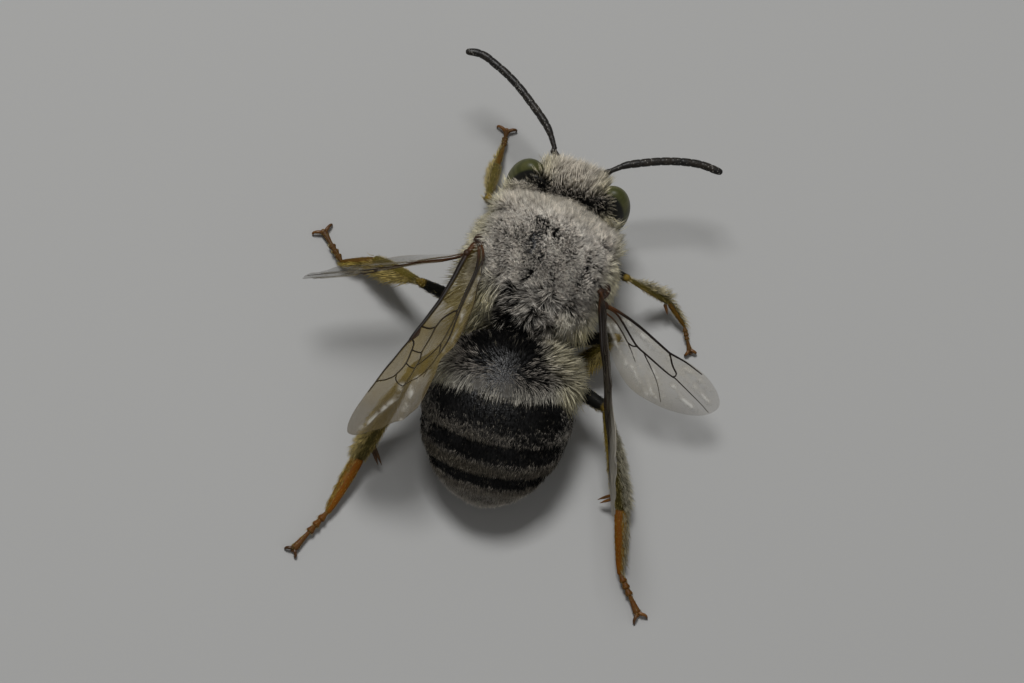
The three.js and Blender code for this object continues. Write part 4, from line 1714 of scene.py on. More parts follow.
@dataclass
class Body:
    """Head, thorax and abdomen: one skin with its marks, and the coat on it."""

    bench: Bench
    markings: Markings = field(default_factory=Markings)
    voxel: float = 0.085
    relax_share: float = 0.5
    relax_rounds: int = 7
    rear_from: float = 0.75
    side_from: float = 0.72
    side_under: float = 0.1
    waist_to: float = 1.85
    bands_split: float = 4.3

    def lumps(self) -> list[Shape]:
        """The overlapping forms that the skin is drawn over.

        Returns:
            One closed shape for each.
        """
        head, thorax = self.markings.head, self.markings.thorax
        skull = [head.capsule, head.snout, head.brow, head.crown, *head.gena.pair(), *head.temple.pair()]
        trunk = [thorax.shell, thorax.collar, thorax.scutellum, thorax.propodeum, thorax.neck]
        trunk += [*thorax.pleuron.pair(), *thorax.shoulder.pair()]
        shapes = [ovoid.shape() for ovoid in skull]
        for shape in shapes:
            shape.points = head.posed(shape.points)
        return shapes + [ovoid.shape() for ovoid in trunk] + [self.markings.abdomen.shape()]

    def skin(self) -> Object:
        """One closed skin over all the lumps, with ring edges and marks, in millimetres.

        Returns:
            The skin.
        """
        skin = self.bench.build("body_skin", Shape.joined(self.lumps()), SkinFinish().make())
        wrap = skin.modifiers.new("Wrap", "REMESH")
        wrap.mode, wrap.voxel_size, wrap.use_smooth_shade = "VOXEL", self.voxel, True
        relax = skin.modifiers.new("Relax", "SMOOTH")
        relax.factor, relax.iterations = self.relax_share, self.relax_rounds
        self.bench.settle(skin)
        self._ring_steps(skin.data)
        coat = self.markings.read(read(skin.data.vertices, "co", 3).astype(float))
        for item in fields(coat):
            store(skin.data, item.name, getattr(coat, item.name))
        centres = read(skin.data.polygons, "center", 3).astype(float)
        store(skin.data, "zone", self._zones(centres), "FACE")
        return skin

    def _ring_steps(self, mesh: Mesh) -> None:
        """Let the rear edge of each abdomen ring stand over the next ring.

        Args:
            mesh: the skin, in millimetres.
        """
        points, normals = read(mesh.vertices, "co", 3).astype(float), read(mesh.vertex_normals, "vector", 3)
        abdomen = self.markings.abdomen
        t = abdomen.ring_place(points)
        edges = np.array([-1.0, *abdomen.edges, 9.0])
        ring = np.clip(np.searchsorted(edges, t) - 1, 0, len(edges) - 2)
        climb = held((t - edges[ring]) / (edges[ring + 1] - edges[ring]))
        height = abdomen.step_mm * (climb**1.5 - 0.5) * (self.markings.regions(points) == 2)
        points += normals * height[:, None]
        mesh.vertices.foreach_set("co", points.astype(np.float32).ravel())
        mesh.update()

    def _zones(self, centres: Array) -> Array:
        """The zone of each face.

        Args:
            centres: the faces' middles.

        Returns:
            The zones' numbers.
        """
        t = self.markings.abdomen.ring_place(centres)
        q = self.markings.thorax.coat.local(centres)
        aside = (np.abs(q[:, 0]) > self.side_from) | (q[:, 2] < self.side_under)
        thorax = np.where(centres[:, 1] < self.rear_from, Zone.THORAX_TOP.value, Zone.THORAX_REAR.value)
        thorax = np.where(aside, Zone.THORAX_SIDE.value, thorax)
        abdomen = np.where(t < self.bands_split, Zone.BANDS_FRONT.value, Zone.BANDS_REAR.value)
        abdomen = np.where(t < self.waist_to, Zone.WAIST.value, abdomen)
        return np.choose(self.markings.regions(centres), [Zone.HEAD.value, thorax, abdomen])

    def make(self, groomer: Groomer) -> Object:
        """Build the skin and its coat.

        Args:
            groomer: grows the coat.

        Returns:
            The skin, placed.
        """
        skin = self.skin()
        marks = self.markings
        middle = (np.array(marks.abdomen.start) + np.array(marks.abdomen.end)) / 2
        forms = {
            "coat_head": (marks.head.coat.centre, (2.2, 1.0, 1.8)),
            "coat_thorax": (marks.thorax.coat.centre, (3.2, 2.6, 2.1)),
            "coat_waist": ((-0.2, 4.6, 3.1), (3.2, 2.0, 2.2)),
            "coat_bands": (middle, (3.2, 4.2, 2.1)),
        }
        for pile in PILES:
            centre, reach = next(form for name, form in forms.items() if pile.name.startswith(name))
            groomer.grow(skin, pile, np.array(centre), np.array(reach))
        for mark in GROWTH_MARKS:
            skin.data.attributes.remove(skin.data.attributes[mark])
        rings = [f"abdomen_{k}" for k in range(1, 7)]
        return self.bench.place(skin, "banded_coat", "head", "thorax", *rings)


# ---------------------------------------------------------------- head pieces
Rows = tuple[tuple[float, ...], ...]


def tapered(knots: Array, rows: Rows, steps: int, sides: int) -> Shape:
    """Round limb along a smooth path.

    Args:
        knots: the points that the path passes through.
        rows: rows of share and half width, or of share, half width and half depth.
        steps: points along the path.
        sides: points in a ring.

    Returns:
        The limb.
    """
    table = np.array(rows)
    shares = np.linspace(0, 1, steps)
    widths, depths = (np.interp(shares, table[:, 0], table[:, k]) for k in (1, -1))
    return limb(smooth_path(knots, steps), widths, depths, UP, sides)


@dataclass
class Face:
    """What stands on the head's skin: eyes, ocelli, face plates, jaws and the folded tongue."""

    bench: Bench
    size: HeadSize = HeadSize()
    eye_gap: float = 0.02
    rim_from: float = 0.3
    rim_to: float = 0.44
    rim_slope: float = 0.28
    corner_share: float = 0.9
    ocellus: Ovoid = Ovoid((0.0, -5.28, 4.93), 0.14, 0.12, 0.12, 0.12, 0.12)
    ocellus_places: tuple[Point, ...] = ((0.0, 0.0, 0.0), (0.36, 0.28, 0.06), (-0.36, 0.28, 0.06))
    clypeus: Ovoid = Ovoid((0.0, -5.34, 2.36), 0.98, 0.38, 0.3, 0.74, 0.78, 14.0)
    labrum: Ovoid = Ovoid((0.0, -5.2, 1.5), 0.46, 0.15, 0.15, 0.24, 0.3, 20.0)
    jaw: Rows = ((1.18, -4.72, 1.85), (1.05, -4.98, 1.42), (0.7, -5.12, 1.18), (0.24, -5.16, 1.12))
    jaw_rows: Rows = ((0.0, 0.27, 0.22), (0.5, 0.19, 0.15), (0.85, 0.13, 0.09), (1.0, 0.07, 0.05))
    tongue: Rows = ((0.0, -5.0, 1.42), (0.0, -4.4, 1.12), (0.0, -3.6, 1.12), (0.0, -2.9, 1.24))
    tongue_rows: Rows = ((0.0, 0.3, 0.14), (0.4, 0.24, 0.13), (0.8, 0.15, 0.09), (1.0, 0.07, 0.05))

    LIMB_STEPS = 24
    LIMB_SIDES = 20

    def fixed(self, name: str, shape: Shape, paint: Material, slot: str, *nodes: str) -> Object:
        """Turn a piece of the straight head with the neck, and place it."""
        shape.points = self.size.posed(shape.points)
        return self.bench.place(self.bench.build(name, shape, paint), slot, *nodes)

    def eyes(self) -> None:
        """The two compound eyes, each with a dark rim behind."""
        paint = EyeFinish().make()
        for side in Side:
            ovoid = self.size.eye.on(side)
            shape = ovoid.shape(72, 60, -self.eye_gap)
            q = ovoid.local(shape.points)
            behind = q[:, 1] - self.rim_slope * (q[:, 0] * side.sign)
            shape.marked(rim=ease(behind, self.rim_from, self.rim_to))
            self.fixed(f"compound_eye_{side.value}", shape, paint, "eye", f"eye_{side.value}")

    def ocelli(self) -> None:
        """Three small simple eyes on the crown."""
        shapes = []
        for place in self.ocellus_places:
            shape = self.ocellus.shape(24, 16)
            shape.points += np.array(place)
            shapes.append(shape)
        glass = ShellFinish("ocellus", (0.03, 0.018, 0.008), (0.08, 0.045, 0.015), 0.08, 1.0).make()
        self.fixed("ocelli", Shape.joined(shapes), glass, "eye")

    def plates(self) -> None:
        """Clypeus and labrum, with dark edges and upper corners."""
        shapes = []
        for ovoid in (self.clypeus, self.labrum):
            shape = ovoid.shape(48, 32)
            q = ovoid.local(shape.points)
            side, rise = np.abs(q[:, 0]), q[:, 2]
            corners = ease(side, 0.16, 0.42) * ease(rise + 0.5 * side, 0.15, 0.4)
            edge = ease(np.hypot(q[:, 0], rise), 0.8, 0.98)
            shapes.append(shape.marked(edge=np.maximum(edge, self.corner_share * corners)))
        self.fixed("face_plates", Shape.joined(shapes), FaceFinish().make(), "black_shell")

    def mouth(self) -> None:
        """The two jaws, and the tongue's sheath folded back under the head."""
        shell = ShellFinish("jaw_shell", (0.012, 0.008, 0.006), (0.09, 0.025, 0.008), 0.28, 0.5).make()
        for side in Side:
            knots = np.array(self.jaw) * (side.sign, 1.0, 1.0)
            shape = tapered(knots, self.jaw_rows, self.LIMB_STEPS, self.LIMB_SIDES)
            self.fixed(f"jaw_{side.value}", shape, shell, "black_shell", f"mandible_{side.value}")
        sheath = ShellFinish("tongue_sheath", (0.05, 0.022, 0.009), (0.13, 0.06, 0.02), 0.3, 0.4).make()
        shape = tapered(np.array(self.tongue), self.tongue_rows, self.LIMB_STEPS, self.LIMB_SIDES)
        self.fixed("tongue", shape, sheath, "black_shell")

    def make(self) -> None:
        """Build every piece."""
        for part in (self.eyes, self.ocelli, self.plates, self.mouth):
            part()


@dataclass
class Antenna:
    """One antenna: scape, pedicel, and a flagellum of eleven joints."""

    bench: Bench
    side: Side
    scape: Rows
    flagellum: Rows
    joints: int = 11
    steps_per_joint: int = 9
    girth: float = 0.185
    root_share: float = 0.62
    tip_loss: float = 0.12
    waist: float = 0.13
    scape_rows: Rows = ((0.0, 0.11), (0.15, 0.13), (0.6, 0.17), (1.0, 0.15))
    knuckle_rows: Rows = ((0.0, 0.12), (1.0, 0.12))

    SIDES = 22

    def lash(self) -> Shape:
        """The flagellum, with a groove at each joint.

        Returns:
            Its mesh.
        """
        steps = self.joints * self.steps_per_joint + 1
        share = np.linspace(0, 1, steps)
        within = np.abs(((share * self.joints) % 1.0) - 0.5) * 2.0
        swell = self.root_share + (1 - self.root_share) * ease(share, 0, 0.22)
        girth = self.girth * swell * (1 - self.tip_loss * ease(share, 0.93, 1))
        girth *= 1 - self.waist * within**6
        return limb(smooth_path(self.flagellum, steps), girth, girth, UP, self.SIDES)

    def make(self, paint: Material) -> None:
        """Build the scape and the flagellum.

        Args:
            paint: the antennae's material.
        """
        scape = tapered(self.scape, self.scape_rows, 16, self.SIDES)
        knuckle = tapered((self.scape[-1], self.flagellum[0]), self.knuckle_rows, 4, self.SIDES)
        pieces = (("base", Shape.joined([scape, knuckle]), "scape"), ("lash", self.lash(), "flagellum"))
        side = self.side.value
        for name, shape, node in pieces:
            piece = self.bench.build(f"antenna_{name}_{side}", shape, paint)
            self.bench.place(piece, "antenna", f"antenna_{side}_{node}")


# ---------------------------------------------------------------- legs
class Segment(Enum):
    """A leg's segments, from the body outwards."""

    COXA = "coxa"
    FEMUR = "femur"
    TIBIA = "tibia"
    BASITARSUS = "basitarsus"
    TARSUS = "tarsus"


@dataclass(frozen=True)
class LegBuild:
    """A leg's half widths and brush, its claws' reach forwards and their hook, and its brush's greyness."""

    coxa: float
    femur: float
    tibia: float
    basitarsus: float
    tarsus: float
    flatness: float
    brush: float
    claw_reach: float
    claw_hook: float
    silver: float
    hind: float = 0.0


FORE = LegBuild(0.4, 0.29, 0.23, 0.15, 0.13, 0.85, 0.24, 0.22, 0.17, 0.2)
FORE_SLIM = LegBuild(0.4, 0.26, 0.16, 0.12, 0.11, 0.85, 0.5, 0.22, 0.17, 0.6)
MIDDLE = LegBuild(0.42, 0.32, 0.29, 0.19, 0.15, 0.8, 0.75, 0.24, 0.18, 0.0)
HIND = LegBuild(0.44, 0.38, 0.37, 0.29, 0.16, 0.52, 0.3, 0.34, 0.5, 0.85, 1.0)
HIND_GOLDEN = replace(HIND, claw_reach=0.28, claw_hook=0.36, silver=0.1)
LEG_PILE = Pile("hair", Zone.LEG, 0.054, "olive_leg", 3, 0.022, 0.12, 0.3, 0.25, 1, 1, 0.16, HairKind.LEG)


@dataclass(frozen=True)
class LegPose:
    """How one leg stands: its joints from hip to toe, its spurs, and which way its brush faces."""

    name: str
    build: LegBuild
    seed: int
    foot_tone: float
    claw_span: float
    spurs: tuple[tuple[Point, Point], ...]
    brush_heading: Point
    joints: tuple[Point, ...]


@dataclass
class Leg:
    """One leg in a single skin from coxa to toe, with its hair, spurs and claws."""

    bench: Bench
    pose: LegPose

    PROFILES = {
        Segment.COXA: ((0.0, 0.9, 0.9), (0.5, 1.0, 0.95), (1.0, 0.62, 0.62)),
        Segment.FEMUR: ((0.0, 0.5, 0.55), (0.12, 0.74, 0.78), (0.4, 1.0, 1.0), (0.8, 0.82, 0.84),
                        (1.0, 0.66, 0.64)),
        Segment.TIBIA: ((0.0, 0.48, 0.5), (0.1, 0.62, 0.62), (0.35, 0.82, 0.8), (0.8, 1.0, 0.92),
                        (1.0, 0.84, 0.78)),
        Segment.BASITARSUS: ((0.0, 0.7, 0.6), (0.12, 1.0, 0.9), (0.45, 0.96, 1.0), (0.85, 0.7, 0.85),
                             (1.0, 0.45, 0.6)),
    }
    STEPS = 22
    SIDES = 24
    KNUCKLE = 0.52
    TOES = ((0.0, 0.19), (0.17, 0.36), (0.34, 0.53), (0.5, 1.0))
    TOE_STEPS = 12
    TOE_SIDES = 18
    TOE_DEPTH = 0.85
    CLAW_ROWS = ((0.0, 0.095), (0.5, 0.08), (0.85, 0.05), (1.0, 0.012))
    CLAW_TIP_HEIGHT = 0.016
    SPUR_ROWS = ((0.0, 0.09), (0.6, 0.065), (1.0, 0.012))
    SPUR_BEND = 0.04
    SPIKE_STEPS = 14
    SPIKE_SIDES = 12
    PAD = 0.11
    PAD_PLACE = (0.14, 0.08)

    def girth(self, segment: Segment) -> float:
        """A segment's half width."""
        return getattr(self.pose.build, segment.value)

    def segment(self, segment: Segment, start: Array, end: Array) -> Shape:
        """One segment between two joints.

        Args:
            segment: which one.
            start: the joint nearer the body.
            end: the other joint.

        Returns:
            Its mesh, with its marks.
        """
        table = np.array(self.PROFILES[segment])
        shares = np.linspace(0, 1, self.STEPS)
        widths, depths = (np.interp(shares, table[:, 0], table[:, k]) * self.girth(segment) for k in (1, 2))
        flat = self.pose.build.flatness if segment is Segment.BASITARSUS else 1.0
        line = start + (end - start) * shares[:, None]
        return self.coloured(limb(line, widths, depths * flat, UP, self.SIDES), segment, start, end)

    def coloured(self, shape: Shape, segment: Segment, start: Array, end: Array) -> Shape:
        """Mark a segment's colours and the hair that grows on it.

        Args:
            shape: its mesh.
            segment: which one it is.
            start: the joint nearer the body.
            end: the other joint.

        Returns:
            The shape itself.
        """
        build = self.pose.build
        axis = unit(end - start)
        side = unit(np.cross(UP, axis))
        offset = shape.points - start
        along = held(offset @ axis / np.linalg.norm(end - start))
        beside, over = (offset @ way / self.girth(segment) for way in (side, np.cross(axis, side)))
        edge = ease(np.abs(beside), 0.45, 0.85)
        facing = unit(offset - (offset @ axis)[:, None] * axis) @ unit(np.array(self.pose.brush_heading))
        brushed = ease(facing, 0.2, 0.7)
        marks = dict.fromkeys(("olive", "orange", "yellow", "toe", "pale", "cream", "brown", "dark"), 0.0)
        marks |= {"thick": 0.8, "reach": 0.16, "stand": 0.3}
        match segment:
            case Segment.COXA | Segment.FEMUR:
                under = 0.75 * ease(over, -0.35, -0.75) * (segment is Segment.FEMUR)
                marks |= {
                    "yellow": 0.45 * ease(along, 0.95, 1) + under, "pale": 0.5, "cream": 0.45,
                    "dark": 0.75 * ease(over, -0.3, 0.2), "reach": 0.14 + 0.3 * ease(over, 0, -0.6),
                    "thick": 0.35,
                }
            case Segment.TIBIA:
                marks |= {
                    "olive": 1 - 0.45 * build.hind * ease(over, 0.2, 0.7),
                    "yellow": held(0.6 * ease(along, 0.1, 0) + 0.55 * edge * ease(along, 1, 0.3)),
                    "cream": 0.75 - 0.65 * build.silver * brushed,
                    "pale": 0.6 + 0.4 * brushed * build.silver,
                    "reach": 0.15 + 0.1 * edge + build.brush * brushed * ease(along, 0.1, 0.5),
                    "stand": 0.26 + 0.2 * edge + 0.2 * brushed, "thick": 0.55 + 0.45 * brushed,
                }
            case Segment.BASITARSUS:
                brushed = brushed * (0.4 + 0.6 * build.silver) if build.hind else brushed
                marks |= {
                    "orange": 0.35 + 0.65 * build.hind * (1 - 0.75 * brushed), "olive": 0.6,
                    "yellow": 0.25 * brushed * build.hind, "cream": 0.75 - 0.55 * build.silver * brushed,
                    "pale": brushed * build.silver, "stand": 0.22 + 0.25 * brushed,
                    "reach": 0.14 + 0.08 * edge + 0.42 * brushed * build.brush / 0.5,
                    "thick": 0.4 + 0.5 * brushed,
                }
            case Segment.TARSUS:
                marks |= {
                    "olive": 0.5, "orange": 0.35 + 0.45 * build.hind, "cream": 0.6, "pale": 0.3,
                    "toe": self.pose.foot_tone * (0.4 + 0.6 * along), "reach": 0.12 + 0.1 * brushed,
                    "thick": 0.5,
                }
        above_floor = 0.8 * np.maximum(shape.points[:, 2], 0.05)
        marks["reach"] = np.minimum(marks["reach"], above_floor)
        shape.marks.pop("along", None)
        return shape.marked(**marks, comb=np.tile(axis, (len(shape.points), 1)))

    def skin(self) -> Shape:
        """All segments, with knuckles between them.

        Returns:
            One mesh, with its marks.
        """
        joints = [np.array(joint) for joint in self.pose.joints]
        segments = list(Segment)[:-1]
        shapes = [self.segment(segment, *ends) for segment, *ends in zip(segments, joints, joints[1:])]
        for segment, joint in zip(segments[1:], joints[1:]):
            girth = self.KNUCKLE * self.girth(segment)
            ball = Ovoid(tuple(joint), *(girth,) * 5).shape(24, 16)
            ball = self.coloured(ball, segment, joint - UP * girth, joint + UP * girth + (0.01, 0.0, 0.0))
            shapes.append(ball.marked(yellow=0.1))
        heel, toe = joints[4:]
        shares = np.linspace(0, 1, self.TOE_STEPS)
        swell = self.girth(Segment.TARSUS) * (0.52 + 0.6 * shares**1.6)
        for low, high in self.TOES:
            line = heel + (toe - heel) * (low + (high - low) * shares[:, None])
            shape = limb(line, swell, swell * self.TOE_DEPTH, UP, self.TOE_SIDES)
            shapes.append(self.coloured(shape, Segment.TARSUS, heel, toe))
        return Shape.joined(shapes)

    def hooks(self) -> Shape:
        """Two curved claws at the toe with the soft pad between them, and the spurs at the end of the shin.

        Returns:
            One mesh.
        """
        heel, toe = (np.array(joint) for joint in self.pose.joints[4:])
        flat = unit((toe - heel) * (1.0, 1.0, 0.0))
        side = np.array([-flat[1], flat[0], 0.0])
        reach, hook, span = self.pose.build.claw_reach, self.pose.build.claw_hook, self.pose.claw_span
        paths = []
        for sign in (-1.0, 1.0):
            line = np.array([
                toe - 0.05 * UP, toe + 0.55 * reach * flat + sign * 0.4 * span * side + 0.05 * UP,
                toe + reach * flat + sign * 0.92 * span * side, toe + hook * flat + sign * span * side,
            ])
            line[-1, 2] = self.CLAW_TIP_HEIGHT
            paths.append((line, self.CLAW_ROWS))
        for root, tip in self.pose.spurs:
            middle = (np.array(root) + np.array(tip)) / 2 + self.SPUR_BEND * UP
            paths.append((np.array([root, middle, tip]), self.SPUR_ROWS))
        shapes = [tapered(line, rows, self.SPIKE_STEPS, self.SPIKE_SIDES) for line, rows in paths]
        forward, down = self.PAD_PLACE
        pad = Ovoid(tuple(toe + flat * forward - UP * down), *(self.PAD,) * 3, 0.08, 0.08).shape(20, 14)
        return Shape.joined([*shapes, pad.marked(along=0.5)])

    def make(self, groomer: Groomer, paint: Material, horn: Material) -> None:
        """Build the leg's pieces.

        Args:
            groomer: grows its hair.
            paint: the skin's material.
            horn: the claws' material.
        """
        name = self.pose.name
        skin = self.bench.build(f"{name}_skin", self.skin(), paint)
        store(skin.data, "zone", np.full(len(skin.data.polygons), Zone.LEG.value), "FACE")
        points = read(skin.data.vertices, "co", 3).astype(float)
        centre, reach = (points.max(0) + points.min(0)) / 2, (points.max(0) - points.min(0)) / 2
        groomer.grow(skin, replace(LEG_PILE, name=f"{name}_hair", seed=self.pose.seed), centre, reach)
        for mark in GROWTH_MARKS:
            skin.data.attributes.remove(skin.data.attributes[mark])
        self.bench.place(skin, "olive_leg", *(f"{name}_{segment.value}" for segment in Segment))
        self.bench.place(self.bench.build(f"{name}_claws", self.hooks(), horn), "orange_leg")


# ---------------------------------------------------------------- wings
Plan = tuple[tuple[float, float], ...]


@dataclass(frozen=True)
class Vein:
    """One vein: half widths at its root and tip, and its course along and across the wing."""

    root: float
    tip: float
    course: Plan


@dataclass(frozen=True)
class WingPlan:
    """One kind of wing in its own plane, in millimetres along it and across it from the front edge back."""

    lead: Plan
    trail: Plan
    veins: tuple[Vein, ...]
    creases: tuple[Plan, ...]
    stigma: tuple[float, float] | None


FOREWING = WingPlan(
    lead=((0.0, -0.1), (0.9, -0.2), (2.8, -0.12), (4.7, -0.22), (6.3, -0.5), (8.0, -0.62), (9.4, -0.72),
          (10.2, -0.55), (10.62, -0.15), (10.7, 0.3)),
    trail=((0.2, 0.5), (1.1, 1.2), (2.2, 1.75), (3.3, 2.3), (4.3, 2.6), (5.3, 2.7), (6.15, 2.5), (7.0, 2.8),
           (8.3, 3.1), (9.0, 2.95), (9.7, 2.1), (10.35, 1.1), (10.7, 0.3)),
    veins=(
        Vein(0.16, 0.085, ((0.0, -0.02), (0.9, -0.14), (2.8, -0.06), (4.7, -0.16), (5.5, -0.26))),
        Vein(0.06, 0.03, ((5.3, -0.24), (6.3, -0.46), (7.2, -0.53), (7.95, -0.55), (8.5, -0.6))),
        Vein(0.085, 0.05, ((0.1, 0.12), (0.6, 0.5), (1.47, 1.0), (2.5, 1.17), (3.58, 1.36))),
        Vein(0.06, 0.04, ((0.1, 0.2), (0.5, 0.75), (0.89, 1.05), (1.46, 1.16), (2.37, 1.36), (3.34, 1.54),
                            (3.86, 1.72), (4.95, 2.06), (5.75, 2.2))),
        Vein(0.05, 0.045, ((3.58, 1.36), (3.69, 1.04), (4.15, 0.8), (4.62, 0.7))),
        Vein(0.045, 0.05, ((4.62, 0.7), (4.73, 0.3), (4.75, -0.12))),
        Vein(0.045, 0.035, ((4.62, 0.7), (5.2, 0.78), (5.93, 0.8))),
        Vein(0.045, 0.035, ((3.58, 1.36), (3.95, 1.56), (4.6, 1.62), (5.34, 1.68))),
        Vein(0.038, 0.032, ((3.8, 1.48), (3.83, 1.66))),
        Vein(0.04, 0.03, ((5.34, 1.68), (5.77, 2.05), (5.8, 2.2))),
        Vein(0.038, 0.034, ((5.34, 1.68), (5.9, 1.53), (6.36, 1.36), (6.6, 1.08))),
        Vein(0.05, 0.038, ((5.45, -0.2), (5.62, 0.08), (5.97, 0.23))),
        Vein(0.038, 0.036, ((5.97, 0.23), (5.98, 0.55), (5.93, 0.8))),
        Vein(0.04, 0.032, ((5.93, 0.8), (6.22, 0.98), (6.51, 1.08), (6.76, 1.06), (7.2, 1.13),
                           (7.67, 1.11))),
        Vein(0.042, 0.034, ((5.97, 0.23), (6.65, 0.39), (7.27, 0.29), (7.61, -0.07), (7.91, -0.53))),
        Vein(0.034, 0.032, ((6.65, 0.39), (6.76, 0.71), (6.75, 1.06))),
        Vein(0.034, 0.028, ((7.27, 0.29), (7.56, 0.48), (7.72, 0.83), (7.67, 1.11), (7.3, 1.62),
                            (6.65, 1.97))),
        Vein(0.036, 0.022, ((5.8, 2.2), (6.2, 2.1), (6.65, 1.97), (7.1, 2.0))),
        Vein(0.034, 0.024, ((0.5, 0.72), (1.1, 1.16), (2.2, 1.71), (3.3, 2.26), (4.3, 2.56), (5.2, 2.66))),
    ),
    creases=(
        ((7.7, 0.96), (8.3, 1.2), (9.05, 0.93), (10.16, 0.48)), ((7.3, 1.7), (8.4, 2.15), (9.34, 2.55)),
        ((0.9, 1.25), (1.5, 1.42), (2.4, 1.62), (3.4, 1.82), (4.6, 2.15), (5.6, 2.36)),
    ),
    stigma=(5.2, -0.16),
)
HINDWING = WingPlan(
    lead=((0.0, -0.12), (0.8, -0.3), (1.9, -0.42), (3.7, -0.42), (4.6, -0.62), (5.6, -0.7), (6.4, -0.56),
          (6.9, -0.3), (7.06, -0.1), (7.1, 0.1)),
    trail=((0.1, 0.35), (0.8, 0.85), (1.7, 1.35), (2.5, 1.75), (3.6, 1.98), (5.0, 1.72), (6.1, 1.25),
           (6.7, 0.8), (7.0, 0.42), (7.1, 0.1)),
    veins=(
        Vein(0.075, 0.05, ((0.0, -0.05), (0.8, -0.24), (1.9, -0.36), (3.76, -0.38))),
        Vein(0.05, 0.024, ((3.76, -0.38), (4.6, -0.56), (5.5, -0.63))),
        Vein(0.045, 0.036, ((3.76, -0.37), (4.24, -0.05), (4.65, 0.13), (4.58, 0.32))),
        Vein(0.052, 0.036, ((0.09, 0.0), (0.64, -0.1), (1.12, -0.02), (1.98, 0.25), (2.46, 0.37),
                            (3.07, 0.37), (4.18, 0.36), (4.63, 0.32))),
        Vein(0.042, 0.032, ((0.1, 0.08), (0.26, 0.19), (0.75, 0.18), (1.36, 0.31), (1.99, 0.53))),
        Vein(0.034, 0.034, ((1.99, 0.53), (2.25, 0.5), (2.46, 0.37))),
        Vein(0.028, 0.014, ((1.99, 0.53), (2.4, 0.72), (2.83, 0.94))),
        Vein(0.028, 0.014, ((2.9, 0.4), (4.15, 0.94), (4.93, 1.52))),
        Vein(0.03, 0.014, ((4.63, 0.3), (5.13, 0.32), (6.31, 0.38), (6.9, 0.45))),
    ),
    creases=(
        ((0.6, 0.5), (1.8, 1.0), (2.6, 1.3)), ((1.2, -0.14), (2.4, -0.12), (3.9, -0.16)),
        ((0.9, 0.3), (2.2, 0.68), (3.3, 1.05), (4.6, 1.55)), ((3.4, 0.6), (4.3, 0.95), (5.2, 1.3)),
        ((2.9, 1.25), (3.6, 1.5), (4.2, 1.72)), ((4.75, 0.0), (5.5, 0.02), (6.6, 0.12)),
        ((4.8, -0.3), (5.5, -0.36), (6.3, -0.3)), ((4.9, 0.65), (5.6, 0.8), (6.3, 0.75)),
    ),
    stigma=None,
)


